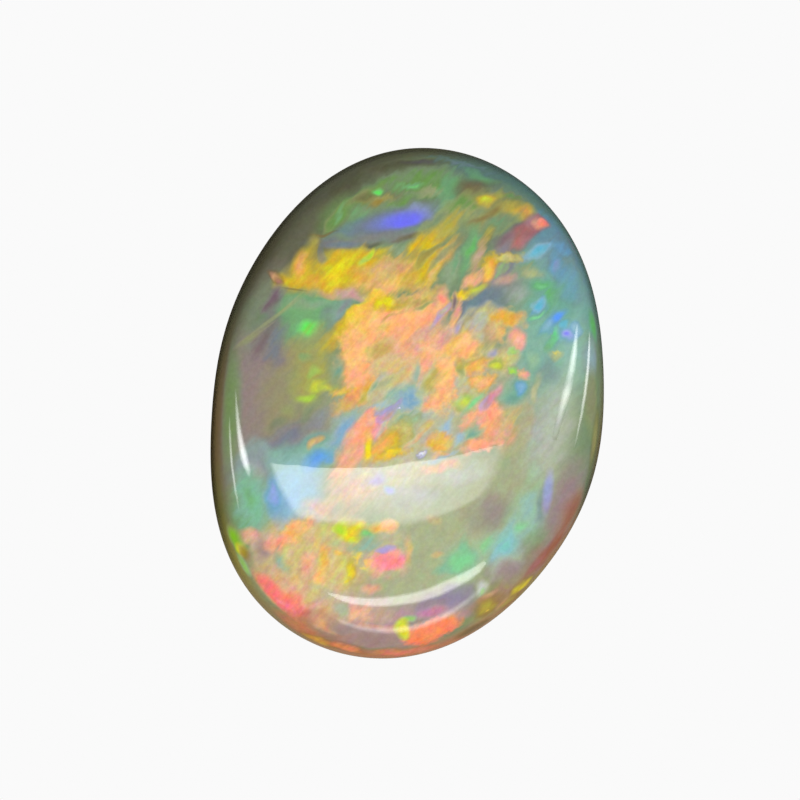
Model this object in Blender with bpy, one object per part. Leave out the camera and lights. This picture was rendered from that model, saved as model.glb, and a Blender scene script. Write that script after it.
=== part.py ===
"""Oval opal cabochon: one polished stone with a domed face, a rounded girdle and a flat ground back.

Metres, +Z up. The back lies on Z = 0, the long axis runs along Y, and the origin is the middle of the back.
"""

import math

import bmesh
import bpy

MM = 0.001

# Driving dimensions of the stone.
LENGTH = 18.4 * MM
WIDTH = 14.0 * MM
DEPTH = 6.2 * MM
GIRDLE_HEIGHT = 1.7 * MM  # the widest level, where a bezel would grip
BEVEL_HEIGHT = 0.45 * MM  # the ground edge round the back

# Shares of the outline's radius: the wall tucks in below the girdle, then the bevel runs in to the flat back.
WALL_TUCK = 0.030
BEVEL_RUN = 0.055

# The crown's section is an ellipse in plan against this power in height. Above 2 it has fuller shoulders.
CROWN_POWER = 2.25

# A cutter's wheel leaves the oval slightly lobed: (waves round the outline, share of the radius, turn in degrees).
OUTLINE_LOBES = (
    (3, 0.0106, -14.0),
    (4, 0.0075, 238.0),
    (6, 0.0047, -46.0),
)

# The top of the dome stands a little off the middle, as a stone ground by hand does.
APEX_SHIFT = (0.20 * MM, 0.35 * MM)

# Rings of the section from the dome's top to the middle of the back, and corners round each ring.
CROWN_RINGS = 15
WALL_RINGS = 4
BEVEL_RINGS = 3
BACK_RINGS = 2
RINGS = CROWN_RINGS + WALL_RINGS + BEVEL_RINGS + BACK_RINGS
CORNERS = 90


def outline_radius(angle):
    """Distance from the middle to the girdle, in the plan direction given by angle."""
    oval = 1 / math.hypot(2 * math.cos(angle) / WIDTH, 2 * math.sin(angle) / LENGTH)
    lobes = sum(share * math.cos(waves * angle - math.radians(turn)) for waves, share, turn in OUTLINE_LOBES)
    return oval * (1 + lobes)


def section(ring):
    """Share of the outline's radius and height, ring by ring from the dome's top (0) to the middle of the back."""
    crown_height = DEPTH - GIRDLE_HEIGHT
    if ring <= CROWN_RINGS:
        rise = math.pi / 2 * (1 - ring / CROWN_RINGS)
        return math.cos(rise), GIRDLE_HEIGHT + crown_height * math.sin(rise) ** (2 / CROWN_POWER)
    ring -= CROWN_RINGS
    if ring <= WALL_RINGS:
        down = ring / WALL_RINGS
        return 1 - WALL_TUCK * down**2, GIRDLE_HEIGHT - (GIRDLE_HEIGHT - BEVEL_HEIGHT) * down
    ring -= WALL_RINGS
    back_share = 1 - WALL_TUCK - BEVEL_RUN
    if ring <= BEVEL_RINGS:
        turn = math.pi / 2 * ring / BEVEL_RINGS
        return back_share + BEVEL_RUN * math.cos(turn), BEVEL_HEIGHT * (1 - math.sin(turn))
    ring -= BEVEL_RINGS
    return back_share * (1 - ring / BACK_RINGS), 0.0


def stone_point(direction):
    """The point of the stone that a point of the unit sphere is moved to."""
    ring = RINGS * math.acos(max(-1.0, min(1.0, direction.z))) / math.pi
    share, height = section(ring)
    angle = math.atan2(direction.y, direction.x)
    reach = share * outline_radius(angle)
    lean = max(0.0, (height - GIRDLE_HEIGHT) / (DEPTH - GIRDLE_HEIGHT)) ** 2
    return (
        reach * math.cos(angle) + lean * APEX_SHIFT[0],
        reach * math.sin(angle) + lean * APEX_SHIFT[1],
        height,
    )


def centre_and_size(bm):
    """Moves the stone so that the origin is the middle of its box, and brings the box to the stated size."""
    for axis, size in ((0, WIDTH), (1, LENGTH)):
        low = min(v.co[axis] for v in bm.verts)
        high = max(v.co[axis] for v in bm.verts)
        for v in bm.verts:
            v.co[axis] = (v.co[axis] - (low + high) / 2) * size / (high - low)


def opal_material():
    material = bpy.data.materials.new("polished opal")
    material.use_nodes = True
    shader = material.node_tree.nodes["Principled BSDF"]
    shader.inputs["Base Color"].default_value = (0.36, 0.37, 0.27, 1)
    shader.inputs["Roughness"].default_value = 0.04
    shader.inputs["Metallic"].default_value = 0.0
    shader.inputs["IOR"].default_value = 1.45
    return material


def make_opal(collection):
    bm = bmesh.new()
    bmesh.ops.create_uvsphere(bm, u_segments=CORNERS, v_segments=RINGS, radius=1.0)
    for v in bm.verts:
        v.co = stone_point(v.co)
    centre_and_size(bm)
    bmesh.ops.recalc_face_normals(bm, faces=bm.faces)
    mesh = bpy.data.meshes.new("opal")
    bm.to_mesh(mesh)
    bm.free()
    mesh.shade_smooth()
    mesh.materials.append(opal_material())
    opal = bpy.data.objects.new("opal", mesh)
    collection.objects.link(opal)
    return opal


def main():
    for obj in list(bpy.data.objects):
        bpy.data.objects.remove(obj, do_unlink=True)
    collection = bpy.data.collections.new("opal cabochon")
    bpy.context.scene.collection.children.link(collection)
    make_opal(collection)


main()
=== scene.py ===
"""Looks of the oval opal cabochon: a finer mesh of the stone, its play of colour as one node material with
painted shade along the rim, plain soft studio light, and the camera straight above it.

The mesh is in metres, in the CAD's frame. The colours are placed in view millimetres: x to the right and
y up as the photograph shows the stone, from the middle of its back.
"""

import math
from functools import partial
from typing import NamedTuple

import bmesh
import bpy
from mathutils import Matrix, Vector
from mathutils.bvhtree import BVHTree
from mathutils.interpolate import poly_3d_calc


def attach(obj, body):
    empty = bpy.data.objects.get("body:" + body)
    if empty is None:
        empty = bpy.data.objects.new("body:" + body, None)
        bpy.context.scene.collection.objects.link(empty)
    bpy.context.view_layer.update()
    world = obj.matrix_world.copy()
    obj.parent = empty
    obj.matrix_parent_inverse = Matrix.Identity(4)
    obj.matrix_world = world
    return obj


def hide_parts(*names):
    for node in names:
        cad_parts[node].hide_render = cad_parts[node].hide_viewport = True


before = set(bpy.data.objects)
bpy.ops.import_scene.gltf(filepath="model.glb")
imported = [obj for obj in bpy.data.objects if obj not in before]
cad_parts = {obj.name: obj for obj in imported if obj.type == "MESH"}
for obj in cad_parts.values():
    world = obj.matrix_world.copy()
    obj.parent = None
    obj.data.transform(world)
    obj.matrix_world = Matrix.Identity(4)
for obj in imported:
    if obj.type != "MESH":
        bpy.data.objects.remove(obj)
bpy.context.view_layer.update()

MM = 0.001

# The stone, with the same driving dimensions as its solid. Each lobe has its waves round the outline, its
# share of the radius and its turn in degrees.
LENGTH = 18.4 * MM
WIDTH = 14.0 * MM
DEPTH = 6.2 * MM
GIRDLE_HEIGHT = 1.7 * MM
BEVEL_HEIGHT = 0.45 * MM
WALL_TUCK = 0.030
BEVEL_RUN = 0.055
CROWN_POWER = 2.25
OUTLINE_LOBES = ((3, 0.0106, -14.0), (4, 0.0075, 238.0), (6, 0.0047, -46.0))
APEX_SHIFT = (0.20 * MM, 0.35 * MM)

# A finer mesh than the solid's.
CROWN_RINGS = 84
WALL_RINGS = 14
BEVEL_RINGS = 10
BACK_RINGS = 12
RINGS = CROWN_RINGS + WALL_RINGS + BEVEL_RINGS + BACK_RINGS
CORNERS = 320

# How the photograph shows the stone: the picture's side, the pixel where the middle of the back lies, the
# scale at the girdle, and how far the long axis leans clockwise from the picture's up.
PHOTO_SIDE = 800
STONE_PIXEL = (408.8, 404.6)
PIXELS_PER_MM = 27.98
STONE_LEAN = math.radians(11.66)
VIEW_RIGHT = Vector((math.cos(STONE_LEAN), math.sin(STONE_LEAN), 0))
VIEW_UP = Vector((-math.sin(STONE_LEAN), math.cos(STONE_LEAN), 0))

# The camera, in millimetres of lens and sensor, and in metres.
LENS = 300.0
SENSOR = 36.0
CAMERA_RISE = LENS / SENSOR * PHOTO_SIDE / PIXELS_PER_MM * MM
CLIP_START = 1 * MM
CLIP_END = 2.0


def outline_radius(angle):
    """Distance from the middle to the girdle, in the plan direction given by angle."""
    oval = 1 / math.hypot(2 * math.cos(angle) / WIDTH, 2 * math.sin(angle) / LENGTH)
    lobes = (share * math.cos(waves * angle - math.radians(turn)) for waves, share, turn in OUTLINE_LOBES)
    return oval * (1 + sum(lobes))


def section(ring):
    """Share of the outline's radius, and height, from the dome's top (ring 0) to the middle of the back."""
    if ring <= CROWN_RINGS:
        rise = math.pi / 2 * (1 - ring / CROWN_RINGS)
        return math.cos(rise), GIRDLE_HEIGHT + (DEPTH - GIRDLE_HEIGHT) * math.sin(rise) ** (2 / CROWN_POWER)
    ring -= CROWN_RINGS
    if ring <= WALL_RINGS:
        down = ring / WALL_RINGS
        return 1 - WALL_TUCK * down**2, GIRDLE_HEIGHT - (GIRDLE_HEIGHT - BEVEL_HEIGHT) * down
    ring -= WALL_RINGS
    back_share = 1 - WALL_TUCK - BEVEL_RUN
    if ring <= BEVEL_RINGS:
        turn = math.pi / 2 * ring / BEVEL_RINGS
        return back_share + BEVEL_RUN * math.cos(turn), BEVEL_HEIGHT * (1 - math.sin(turn))
    ring -= BEVEL_RINGS
    return back_share * (1 - ring / BACK_RINGS), 0.0


def stone_point(direction):
    """The point of the stone that a point of the unit sphere is moved to."""
    ring = RINGS * math.acos(max(-1.0, min(1.0, direction.z))) / math.pi
    share, height = section(ring)
    angle = math.atan2(direction.y, direction.x)
    reach = share * outline_radius(angle)
    lean = max(0.0, (height - GIRDLE_HEIGHT) / (DEPTH - GIRDLE_HEIGHT)) ** 2
    return Vector((
        reach * math.cos(angle) + lean * APEX_SHIFT[0],
        reach * math.sin(angle) + lean * APEX_SHIFT[1],
        height,
    ))


def centre_and_size(bm):
    """Moves the stone so that the origin is the middle of its box, and gives the box the stated size."""
    for axis, size in ((0, WIDTH), (1, LENGTH)):
        low = min(v.co[axis] for v in bm.verts)
        high = max(v.co[axis] for v in bm.verts)
        for v in bm.verts:
            v.co[axis] = (v.co[axis] - (low + high) / 2) * size / (high - low)


# Below this drop from the dome's top the pattern's coordinates run on outwards, so that it isn't drawn out
# in streaks down the steep side.
SIDE_DROP = 2.6 * MM
SIDE_EASE = 0.5 * MM


def run_on(drop, reach):
    """How many times further out the pattern lies, at this drop from the dome's top and this reach."""
    below = max(0.0, drop - SIDE_DROP)
    return 1 + below**2 / (below + SIDE_EASE) / reach if reach > MM else 1.0


def view_place(point):
    """Where a point of the stone shows, in view millimetres, and its height in millimetres."""
    nearer = CAMERA_RISE / (CAMERA_RISE - (point.z - GIRDLE_HEIGHT))
    further = nearer * run_on(DEPTH - point.z, math.hypot(point.x, point.y))
    x = (point.x * math.cos(STONE_LEAN) + point.y * math.sin(STONE_LEAN)) * further
    y = (point.y * math.cos(STONE_LEAN) - point.x * math.sin(STONE_LEAN)) * further
    return x / MM, y / MM, point.z / MM


def pattern_place(x, y):
    """The pattern's coordinates under a place in view millimetres: they run on outwards near the rim."""
    reach = math.hypot(x, y) * MM
    share = reach / outline_radius(math.atan2(y, x) + STONE_LEAN)
    drop = (DEPTH - GIRDLE_HEIGHT) * (1 - max(0.0, 1 - share**2) ** (1 / CROWN_POWER))
    further = run_on(drop, reach)
    return x * further, y * further


def make_stone(material):
    """The stone: a sphere whose points are moved to its form, with the pattern's coordinates at each."""
    bm = bmesh.new()
    bmesh.ops.create_uvsphere(bm, u_segments=CORNERS, v_segments=RINGS, radius=1.0)
    for v in bm.verts:
        v.co = stone_point(v.co)
    centre_and_size(bm)
    bmesh.ops.recalc_face_normals(bm, faces=bm.faces)
    mesh = bpy.data.meshes.new("opal_polished")
    bm.to_mesh(mesh)
    bm.free()
    mesh.shade_smooth()
    places = mesh.attributes.new("view_place", "FLOAT_VECTOR", "POINT")
    for vertex, entry in zip(mesh.vertices, places.data):
        entry.vector = view_place(vertex.co)
    mesh.materials.append(material)
    stone = bpy.data.objects.new("opal_polished", mesh)
    bpy.context.scene.collection.objects.link(stone)
    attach(stone, "root")
    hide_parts("opal")
    return stone


def display(shown):
    """The linear channels of a colour as it shows on a screen, from 0 to 255, by the sRGB curve."""
    return tuple(((c / 255 + 0.055) / 1.055) ** 2.4 if c > 10.31 else c / 255 / 12.92 for c in shown)


# The pale ground's brightness, and how bright a white surface of the stone is lit: its colours are that
# much darker than they show.
GROUND = display((250, 250, 250))[0]
LIT = 1.07

# The opal's colours, as the photograph shows them.
SHOWN = {
    "dark olive": (84, 83, 62), "olive grey": (103, 104, 83), "brown olive": (112, 98, 68),
    "warm olive": (150, 144, 110), "soft olive": (166, 156, 92), "olive": (138, 136, 84),
    "lime olive": (166, 176, 90), "milky olive": (164, 168, 122), "olive gold": (182, 166, 74),
    "moss": (152, 160, 104),
    "brown": (124, 94, 62), "rust": (160, 98, 72), "bronze": (152, 118, 40), "umber": (168, 136, 114),
    "taupe": (160, 146, 138), "dusk": (150, 132, 128),
    # The rim's colours; the darkest three, on the left and top left, are partly painted shade.
    "rim shade brown": (86, 72, 40), "rim shade bark": (106, 82, 46), "rim shade dusk": (66, 60, 42),
    "rim clay": (168, 126, 90), "rim umber": (122, 104, 66), "rim slate": (88, 90, 74),
    "rim rust": (208, 124, 86), "rim tan": (158, 132, 96), "rim olive": (106, 98, 38),
    "rim gold": (158, 140, 58), "rim sage": (130, 138, 104), "rim teal": (80, 120, 120),
    "potch": (104, 102, 92), "pale potch": (148, 146, 132),
    "grey": (134, 130, 126), "slate": (118, 124, 138), "steel": (110, 134, 144), "fog": (182, 188, 176),
    "milk": (204, 208, 190), "grey green": (112, 130, 104), "teal grey": (92, 124, 118),
    "blue grey": (112, 132, 146), "violet grey": (134, 122, 126), "rose grey": (208, 170, 150),
    "clouded sage": (168, 172, 136), "clouded olive": (172, 178, 140), "clouded mint": (158, 192, 152),
    "clouded sea": (138, 182, 164), "clouded aqua": (150, 188, 178), "clouded sky": (152, 190, 216),
    "clouded slate": (140, 146, 150), "clouded rose": (188, 152, 158),
    "leaf": (108, 150, 78), "sage": (124, 146, 112), "milky sage": (146, 166, 132),
    "meadow": (118, 172, 116), "grass": (134, 192, 44), "green": (98, 186, 94),
    "spring": (118, 216, 116), "bright green": (92, 240, 88), "apple": (152, 212, 104),
    "lime": (176, 222, 62), "yellow lime": (208, 218, 60), "mint": (130, 212, 146),
    "jade": (108, 166, 122), "sea green": (128, 188, 150),
    "sea": (112, 168, 150), "teal": (104, 160, 144), "aqua": (130, 200, 192), "cyan": (94, 188, 216),
    "ice": (150, 192, 214), "pale sky": (150, 176, 194), "sky": (108, 164, 200), "lake": (106, 164, 204),
    "blue": (94, 158, 250), "white": (226, 226, 250),
    "indigo": (112, 112, 250), "hyacinth": (118, 130, 208), "periwinkle": (160, 166, 240),
    "lilac": (164, 158, 216), "heather": (142, 134, 160), "purple": (164, 140, 176),
    "nightshade": (84, 78, 86), "plum": (122, 98, 110), "mauve": (156, 132, 136),
    "magenta": (206, 124, 162),
    "maroon": (170, 102, 106), "rosewood": (170, 106, 106), "raspberry": (206, 122, 126),
    "rose": (232, 146, 166), "pink": (254, 150, 158), "flamingo": (252, 126, 122),
    "coral": (252, 134, 112), "red orange": (252, 142, 96), "salmon": (250, 170, 126),
    "melon": (250, 172, 140), "shell": (243, 180, 154),
    "orange": (244, 168, 90), "peach": (250, 182, 118), "apricot": (250, 190, 126),
    "amber": (232, 172, 64), "honey": (242, 192, 84), "butter": (240, 206, 92), "gold": (216, 184, 44),
    "sunny": (232, 216, 40), "yellow": (244, 216, 44),
    "straw": (210, 196, 120), "sand": (218, 192, 132), "dune": (222, 184, 112), "buff": (210, 186, 136),
    "oat": (196, 190, 158), "beige": (208, 190, 146), "tan": (206, 168, 118),
    "pink tan": (214, 158, 122), "clay": (232, 172, 138),
}
COLOURS = {name: display(shown) for name, shown in SHOWN.items()}


class Graph:
    """Adds nodes to one material. Values are numbers, tuples or other nodes' outputs."""

    def __init__(self, tree):
        self.tree = tree

    def add(self, kind, *values, **settings):
        node = self.tree.nodes.new("ShaderNode" + kind)
        for name, value in settings.items():
            setattr(node, name, value)
        for socket, value in zip(node.inputs, values):
            self.feed(socket, value)
        return node

    def feed(self, socket, value):
        if isinstance(value, bpy.types.NodeSocket):
            self.tree.links.new(value, socket)
        else:
            socket.default_value = value

    def math(self, operation, *values):
        return self.add("Math", *values, operation=operation).outputs[0]

    def vector(self, operation, *values):
        node = self.add("VectorMath", *values, operation=operation)
        return node.outputs["Value" if operation == "DOT_PRODUCT" else "Vector"]

    def scaled(self, vector, factor):
        node = self.add("VectorMath", vector, operation="SCALE")
        self.feed(node.inputs["Scale"], factor)
        return node.outputs["Vector"]

    def noise(self, place, scale, detail=2.0, roughness=0.5, dimensions="2D"):
        node = self.add("TexNoise", noise_dimensions=dimensions)
        self.feed(node.inputs["Vector"], place)
        node.inputs["Scale"].default_value = scale
        node.inputs["Detail"].default_value = detail
        node.inputs["Roughness"].default_value = roughness
        return node

    def eased(self, value, low, high, to_low=0.0, to_high=1.0):
        node = self.add(
            "MapRange", value, low, high, to_low, to_high, interpolation_type="SMOOTHSTEP", clamp=False,
        )
        return node.outputs["Result"]

    def mixed(self, factor, below, above):
        node = self.add("Mix", data_type="RGBA")
        self.feed(node.inputs["Factor"], factor)
        self.feed(node.inputs["A"], self.opaque(below))
        self.feed(node.inputs["B"], self.opaque(above))
        return node.outputs["Result"]

    @staticmethod
    def opaque(colour):
        return (*colour, 1.0) if isinstance(colour, tuple) and len(colour) == 3 else colour


# The grain of the opal runs from the lower left to the upper right, and torn fibres slide along it by a
# share of the vector given, in millimetres. The rim's painted shade is darkest and widest on the shaded
# side, the left and top left.
GRAIN_TURN = math.radians(50.0)
GRAIN_SLIDE = Vector((math.cos(GRAIN_TURN), math.sin(GRAIN_TURN), 0.0)) * 0.6
SHADED_SIDE = (-0.87, 0.50, 0.0)


class Fields:
    """The pattern's coordinates, plain and warped in several ways, and noises that feather the patches."""

    def __init__(self, graph):
        self.graph = graph
        place = graph.add("Attribute", attribute_name="view_place").outputs["Vector"]
        split = graph.add("SeparateXYZ", place)
        self.x, self.y, self.height = split.outputs
        # Z is 1, as Patch.rows needs it.
        self.flat = graph.vector("MULTIPLY_ADD", place, (1, 1, 0), (0, 0, 1))
        out = graph.vector("NORMALIZE", graph.vector("MULTIPLY", place, (1, 1, 0)))
        # How far a place faces the left and top left, where the rim's shade is painted.
        self.shadedness = graph.eased(graph.vector("DOT_PRODUCT", out, SHADED_SIDE), -0.1, 0.7)
        calm = self.shifted(self.flat, 0.5, scale=1.1, detail=1.0)
        ragged = self.shifted(self.flat, 0.5, scale=2.2)
        fibres = self.grained(0.8, 4.5, detail=2.5, roughness=0.55)
        pebbles = graph.noise(self.flat, scale=2.8, detail=2.5)
        self.places = {
            "flat": self.flat,
            "calm": calm,
            "torn": self.slid(calm),
            "ragged": ragged,
            "flaked": self.shifted(ragged, 0.22, scale=5.5, detail=1.0),
            "fine": self.shifted(self.flat, 0.24, scale=5.0),
        }
        self.feathers = {
            "faint": self.centred(fibres, 0.7),
            "fibrous": self.centred(fibres, 1.6),
            "pebbly": self.centred(pebbles, 1.5),
        }
        self.together()

    def grained(self, along, across, **settings):
        """A noise with these frequencies along and across the grain."""
        turned = self.graph.add("Mapping", self.flat, vector_type="POINT")
        turned.inputs["Rotation"].default_value = (0, 0, -GRAIN_TURN)
        place = self.graph.vector("MULTIPLY", turned.outputs["Vector"], (along, across, 1.0))
        return self.graph.noise(place, scale=1.0, **settings)

    def centred(self, texture, reach):
        return self.graph.math("MULTIPLY_ADD", texture.outputs["Fac"], reach, -reach / 2)

    def together(self):
        """Makes each place wait for all: patches worked out before their turn would fill Cycles' stack."""
        last = self.graph.add("CombineXYZ", *self.feathers.values()).outputs["Vector"]
        for place in self.places.values():
            last = self.graph.vector("ADD", last, place)
        for name, place in self.places.items():
            self.places[name] = self.graph.vector("MULTIPLY_ADD", last, (1e-9, 1e-9, 0), place)

    def shifted(self, place, reach, **settings):
        """The coordinates moved by a noise's colour, up to half of reach each way."""
        noise = self.graph.noise(self.flat, **settings)
        parts = self.graph.add("SeparateColor", noise.outputs["Color"]).outputs
        step = self.graph.add("CombineXYZ", parts["Red"], parts["Green"]).outputs["Vector"]
        centred = self.graph.vector("SUBTRACT", step, (0.5, 0.5, 0.0))
        return self.graph.vector("MULTIPLY_ADD", centred, (reach, reach, 0.0), place)

    def slid(self, place):
        """Fibres: neighbouring lines of the grain are slid along it by unlike amounts."""
        fibres = self.grained(0.7, 5.0)
        slide = self.graph.math("SUBTRACT", fibres.outputs["Fac"], 0.5)
        return self.graph.vector("ADD", place, self.graph.scaled(tuple(GRAIN_SLIDE), slide))


class Patch(NamedTuple):
    """A patch of colour: how it ends, its colours, its place in view millimetres, its turn in degrees."""

    place: str
    feather: str | None
    solid: float
    gone: float
    core: str
    rim: str
    x: float
    y: float
    half_length: float
    half_width: float
    turn: float
    strength: float = 1.0

    def rows(self):
        """Two rows whose products with (x, y, 1) say how far along and across a place is, in half sizes."""
        turn = math.radians(self.turn)
        along = Vector((math.cos(turn), math.sin(turn))) / self.half_length
        across = Vector((-math.sin(turn), math.cos(turn))) / self.half_width
        middle = Vector(pattern_place(self.x, self.y))
        return (*along, -along.dot(middle)), (*across, -across.dot(middle))


def new_group(name, takes, gives):
    """A node group with these sockets, its graph, and its input and output nodes' sockets."""
    tree = bpy.data.node_groups.new(name, "ShaderNodeTree")
    for label, kind in takes:
        tree.interface.new_socket(label, in_out="INPUT", socket_type="NodeSocket" + kind)
    for label, kind in gives:
        tree.interface.new_socket(label, in_out="OUTPUT", socket_type="NodeSocket" + kind)
    graph = Graph(tree)
    return graph, tree.nodes.new("NodeGroupInput").outputs, tree.nodes.new("NodeGroupOutput").inputs


def patch_group():
    """One patch of colour painted over what is below it."""
    takes = (
        ("Place", "Vector"), ("Below", "Color"), ("Core", "Color"), ("Rim", "Color"),
        ("Along", "Vector"), ("Across", "Vector"), ("Solid", "Float"), ("Gone", "Float"),
        ("Strength", "Float"), ("Feather", "Float"),
    )
    graph, given, result = new_group("patch", takes, (("Colour", "Color"),))
    along = graph.vector("DOT_PRODUCT", given["Place"], given["Along"])
    across = graph.vector("DOT_PRODUCT", given["Place"], given["Across"])
    squared = graph.math("MULTIPLY_ADD", along, along, given["Feather"])
    reach = graph.math("MULTIPLY_ADD", across, across, squared)
    cover = graph.eased(reach, given["Gone"], given["Solid"], 0.0, given["Strength"])
    colour = graph.mixed(reach, given["Core"], given["Rim"])
    graph.feed(result["Colour"], graph.mixed(cover, given["Below"], colour))
    return graph.tree


def region_group(name, patches, patch_tree, fields):
    """A region's patches, one over another."""
    takes = [(label, "Vector") for label in fields.places] + [(label, "Float") for label in fields.feathers]
    takes.append(("Below", "Color"))
    graph, given, result = new_group(name, takes, (("Colour", "Color"),))
    colour = given["Below"]
    for patch in patches:
        node = graph.tree.nodes.new("ShaderNodeGroup")
        node.node_tree = patch_tree
        along, across = patch.rows()
        for label, value in (
            ("Place", given[patch.place]),
            ("Below", colour),
            ("Core", (*COLOURS[patch.core], 1)),
            ("Rim", (*COLOURS[patch.rim], 1)),
            ("Along", along),
            ("Across", across),
            ("Strength", patch.strength),
            ("Solid", patch.solid),
            ("Gone", patch.gone),
            ("Feather", given[patch.feather] if patch.feather else 0.0),
        ):
            graph.feed(node.inputs[label], value)
        colour = node.outputs["Colour"]
    graph.feed(result["Colour"], colour)
    return graph.tree


# The ways a patch ends: the coordinates it lies in, the noise that feathers it, and where it starts to fade
# and where it is gone, in squared half sizes.
mist = partial(Patch, "calm", "faint", -0.30, 1.90)
plain = partial(Patch, "flat", None, 0.00, 1.50)
glow = partial(Patch, "calm", "faint", -0.20, 2.10)
bold = partial(Patch, "fine", "faint", 0.20, 1.60)
cloud = partial(Patch, "torn", "fibrous", -0.20, 2.10)
leaf = partial(Patch, "torn", "fibrous", 0.00, 2.10)
shred = partial(Patch, "ragged", "pebbly", 0.00, 2.10)
flake = partial(Patch, "flaked", "pebbly", 0.10, 2.00)
spark = partial(Patch, "fine", None, -0.20, 1.80)

# Patches of colour, in the order they are painted: core, rim, x, y, half length, half width, turn, and a
# strength where it isn't 1.
BODY = (
    mist("sage", "sage", 0.0, 0.0, 30.0, 30.0, 0),
    plain("olive grey", "olive grey", -4.0, 5.9, 3.0, 1.7, 50),
    mist("dark olive", "olive grey", -2.2, 8.0, 2.4, 0.9, 28),
    mist("sage", "olive grey", 0.8, 7.9, 2.0, 0.7, 0),
    mist("teal grey", "teal grey", 3.6, 7.6, 3.0, 1.2, 140),
    mist("grey green", "sage", 2.9, 6.2, 1.8, 1.2, 40),
    mist("steel", "lake", 5.6, 4.9, 2.0, 1.1, 110),
    mist("sea", "clouded sea", 5.3, 3.2, 2.2, 1.5, 100),
    mist("clouded sea", "clouded sea", 5.0, 1.5, 1.8, 1.4, 90),
    mist("taupe", "steel", 3.4, 4.6, 1.2, 0.8, 40, 0.9),
    mist("steel", "slate", 2.6, 3.7, 1.2, 0.6, 30),
    mist("dusk", "dusk", -5.5, 0.4, 4.0, 1.6, 80),
    mist("warm olive", "warm olive", -4.5, 0.4, 1.8, 0.8, 80),
    mist("grey green", "sage", -4.7, 3.3, 1.5, 1.1, 40),
    mist("meadow", "jade", -3.7, 3.2, 1.3, 1.0, 20, 0.9),
    mist("lime olive", "warm olive", -3.5, 1.2, 1.4, 0.8, 80),
    mist("clouded slate", "slate", -4.4, -1.4, 2.2, 0.55, 26),
    mist("slate", "dusk", -4.2, -1.1, 1.6, 0.26, 27, 0.8),
    mist("clouded sea", "sea", -3.9, -1.95, 1.7, 0.6, 15),
    mist("clouded slate", "clouded aqua", -5.4, -2.5, 1.1, 0.8, 100),
    mist("fog", "clouded slate", -5.5, -2.45, 0.6, 0.45, 100, 0.6),
    mist("sea green", "meadow", -5.6, -3.7, 1.2, 0.8, 95),
    mist("clouded sky", "clouded sea", -4.3, -3.4, 1.2, 0.7, 100),
    mist("oat", "oat", 0.4, 0.2, 3.2, 2.4, 30),
    mist("oat", "clouded olive", -0.4, -2.2, 2.8, 1.6, 10),
    mist("buff", "buff", -4.4, -5.0, 1.2, 1.0, 10),
    mist("sand", "buff", -3.0, -4.5, 1.6, 0.6, 0),
    mist("sand", "buff", -2.8, -6.0, 2.4, 1.6, 0),
    mist("clouded olive", "clouded olive", 0.9, -4.8, 3.0, 1.7, 10),
    mist("oat", "clouded olive", -0.9, -4.9, 1.0, 0.6, 20, 0.9),
    mist("clouded olive", "clouded sage", 0.0, -6.7, 2.2, 1.0, 10),
    mist("clouded mint", "clouded olive", 2.0, -5.6, 1.4, 0.9, 30),
    mist("clouded sage", "clouded olive", 3.2, -3.0, 2.0, 1.3, 20),
    mist("fog", "clouded sage", 1.9, -2.5, 1.2, 0.5, 10, 0.7),
    mist("fog", "clouded sage", 4.8, -1.0, 2.4, 1.1, 80, 0.8),
    mist("clouded olive", "tan", 3.7, -0.8, 1.0, 0.6, 80, 0.7),
    mist("grey", "taupe", 3.0, -3.9, 1.1, 0.6, 20, 0.6),
    mist("clouded aqua", "clouded mint", 4.1, -4.2, 1.7, 0.7, 55),
    mist("mauve", "taupe", 5.6, -3.4, 1.6, 0.7, 68),
    mist("umber", "umber", 4.8, -5.5, 1.5, 0.7, 52),
    mist("fog", "mauve", 3.5, -5.7, 0.9, 0.6, 50, 0.8),
    mist("umber", "soft olive", 3.3, -6.9, 1.5, 0.6, 36),
    mist("clouded rose", "mauve", 0.9, -7.3, 1.7, 0.6, 14),
    mist("rose grey", "clouded rose", -1.9, -7.5, 1.8, 0.7, -8),
    mist("umber", "mauve", -1.4, -8.4, 2.4, 0.5, 0),
    mist("clay", "buff", -3.7, -7.0, 1.6, 0.8, -40),
)

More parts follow.
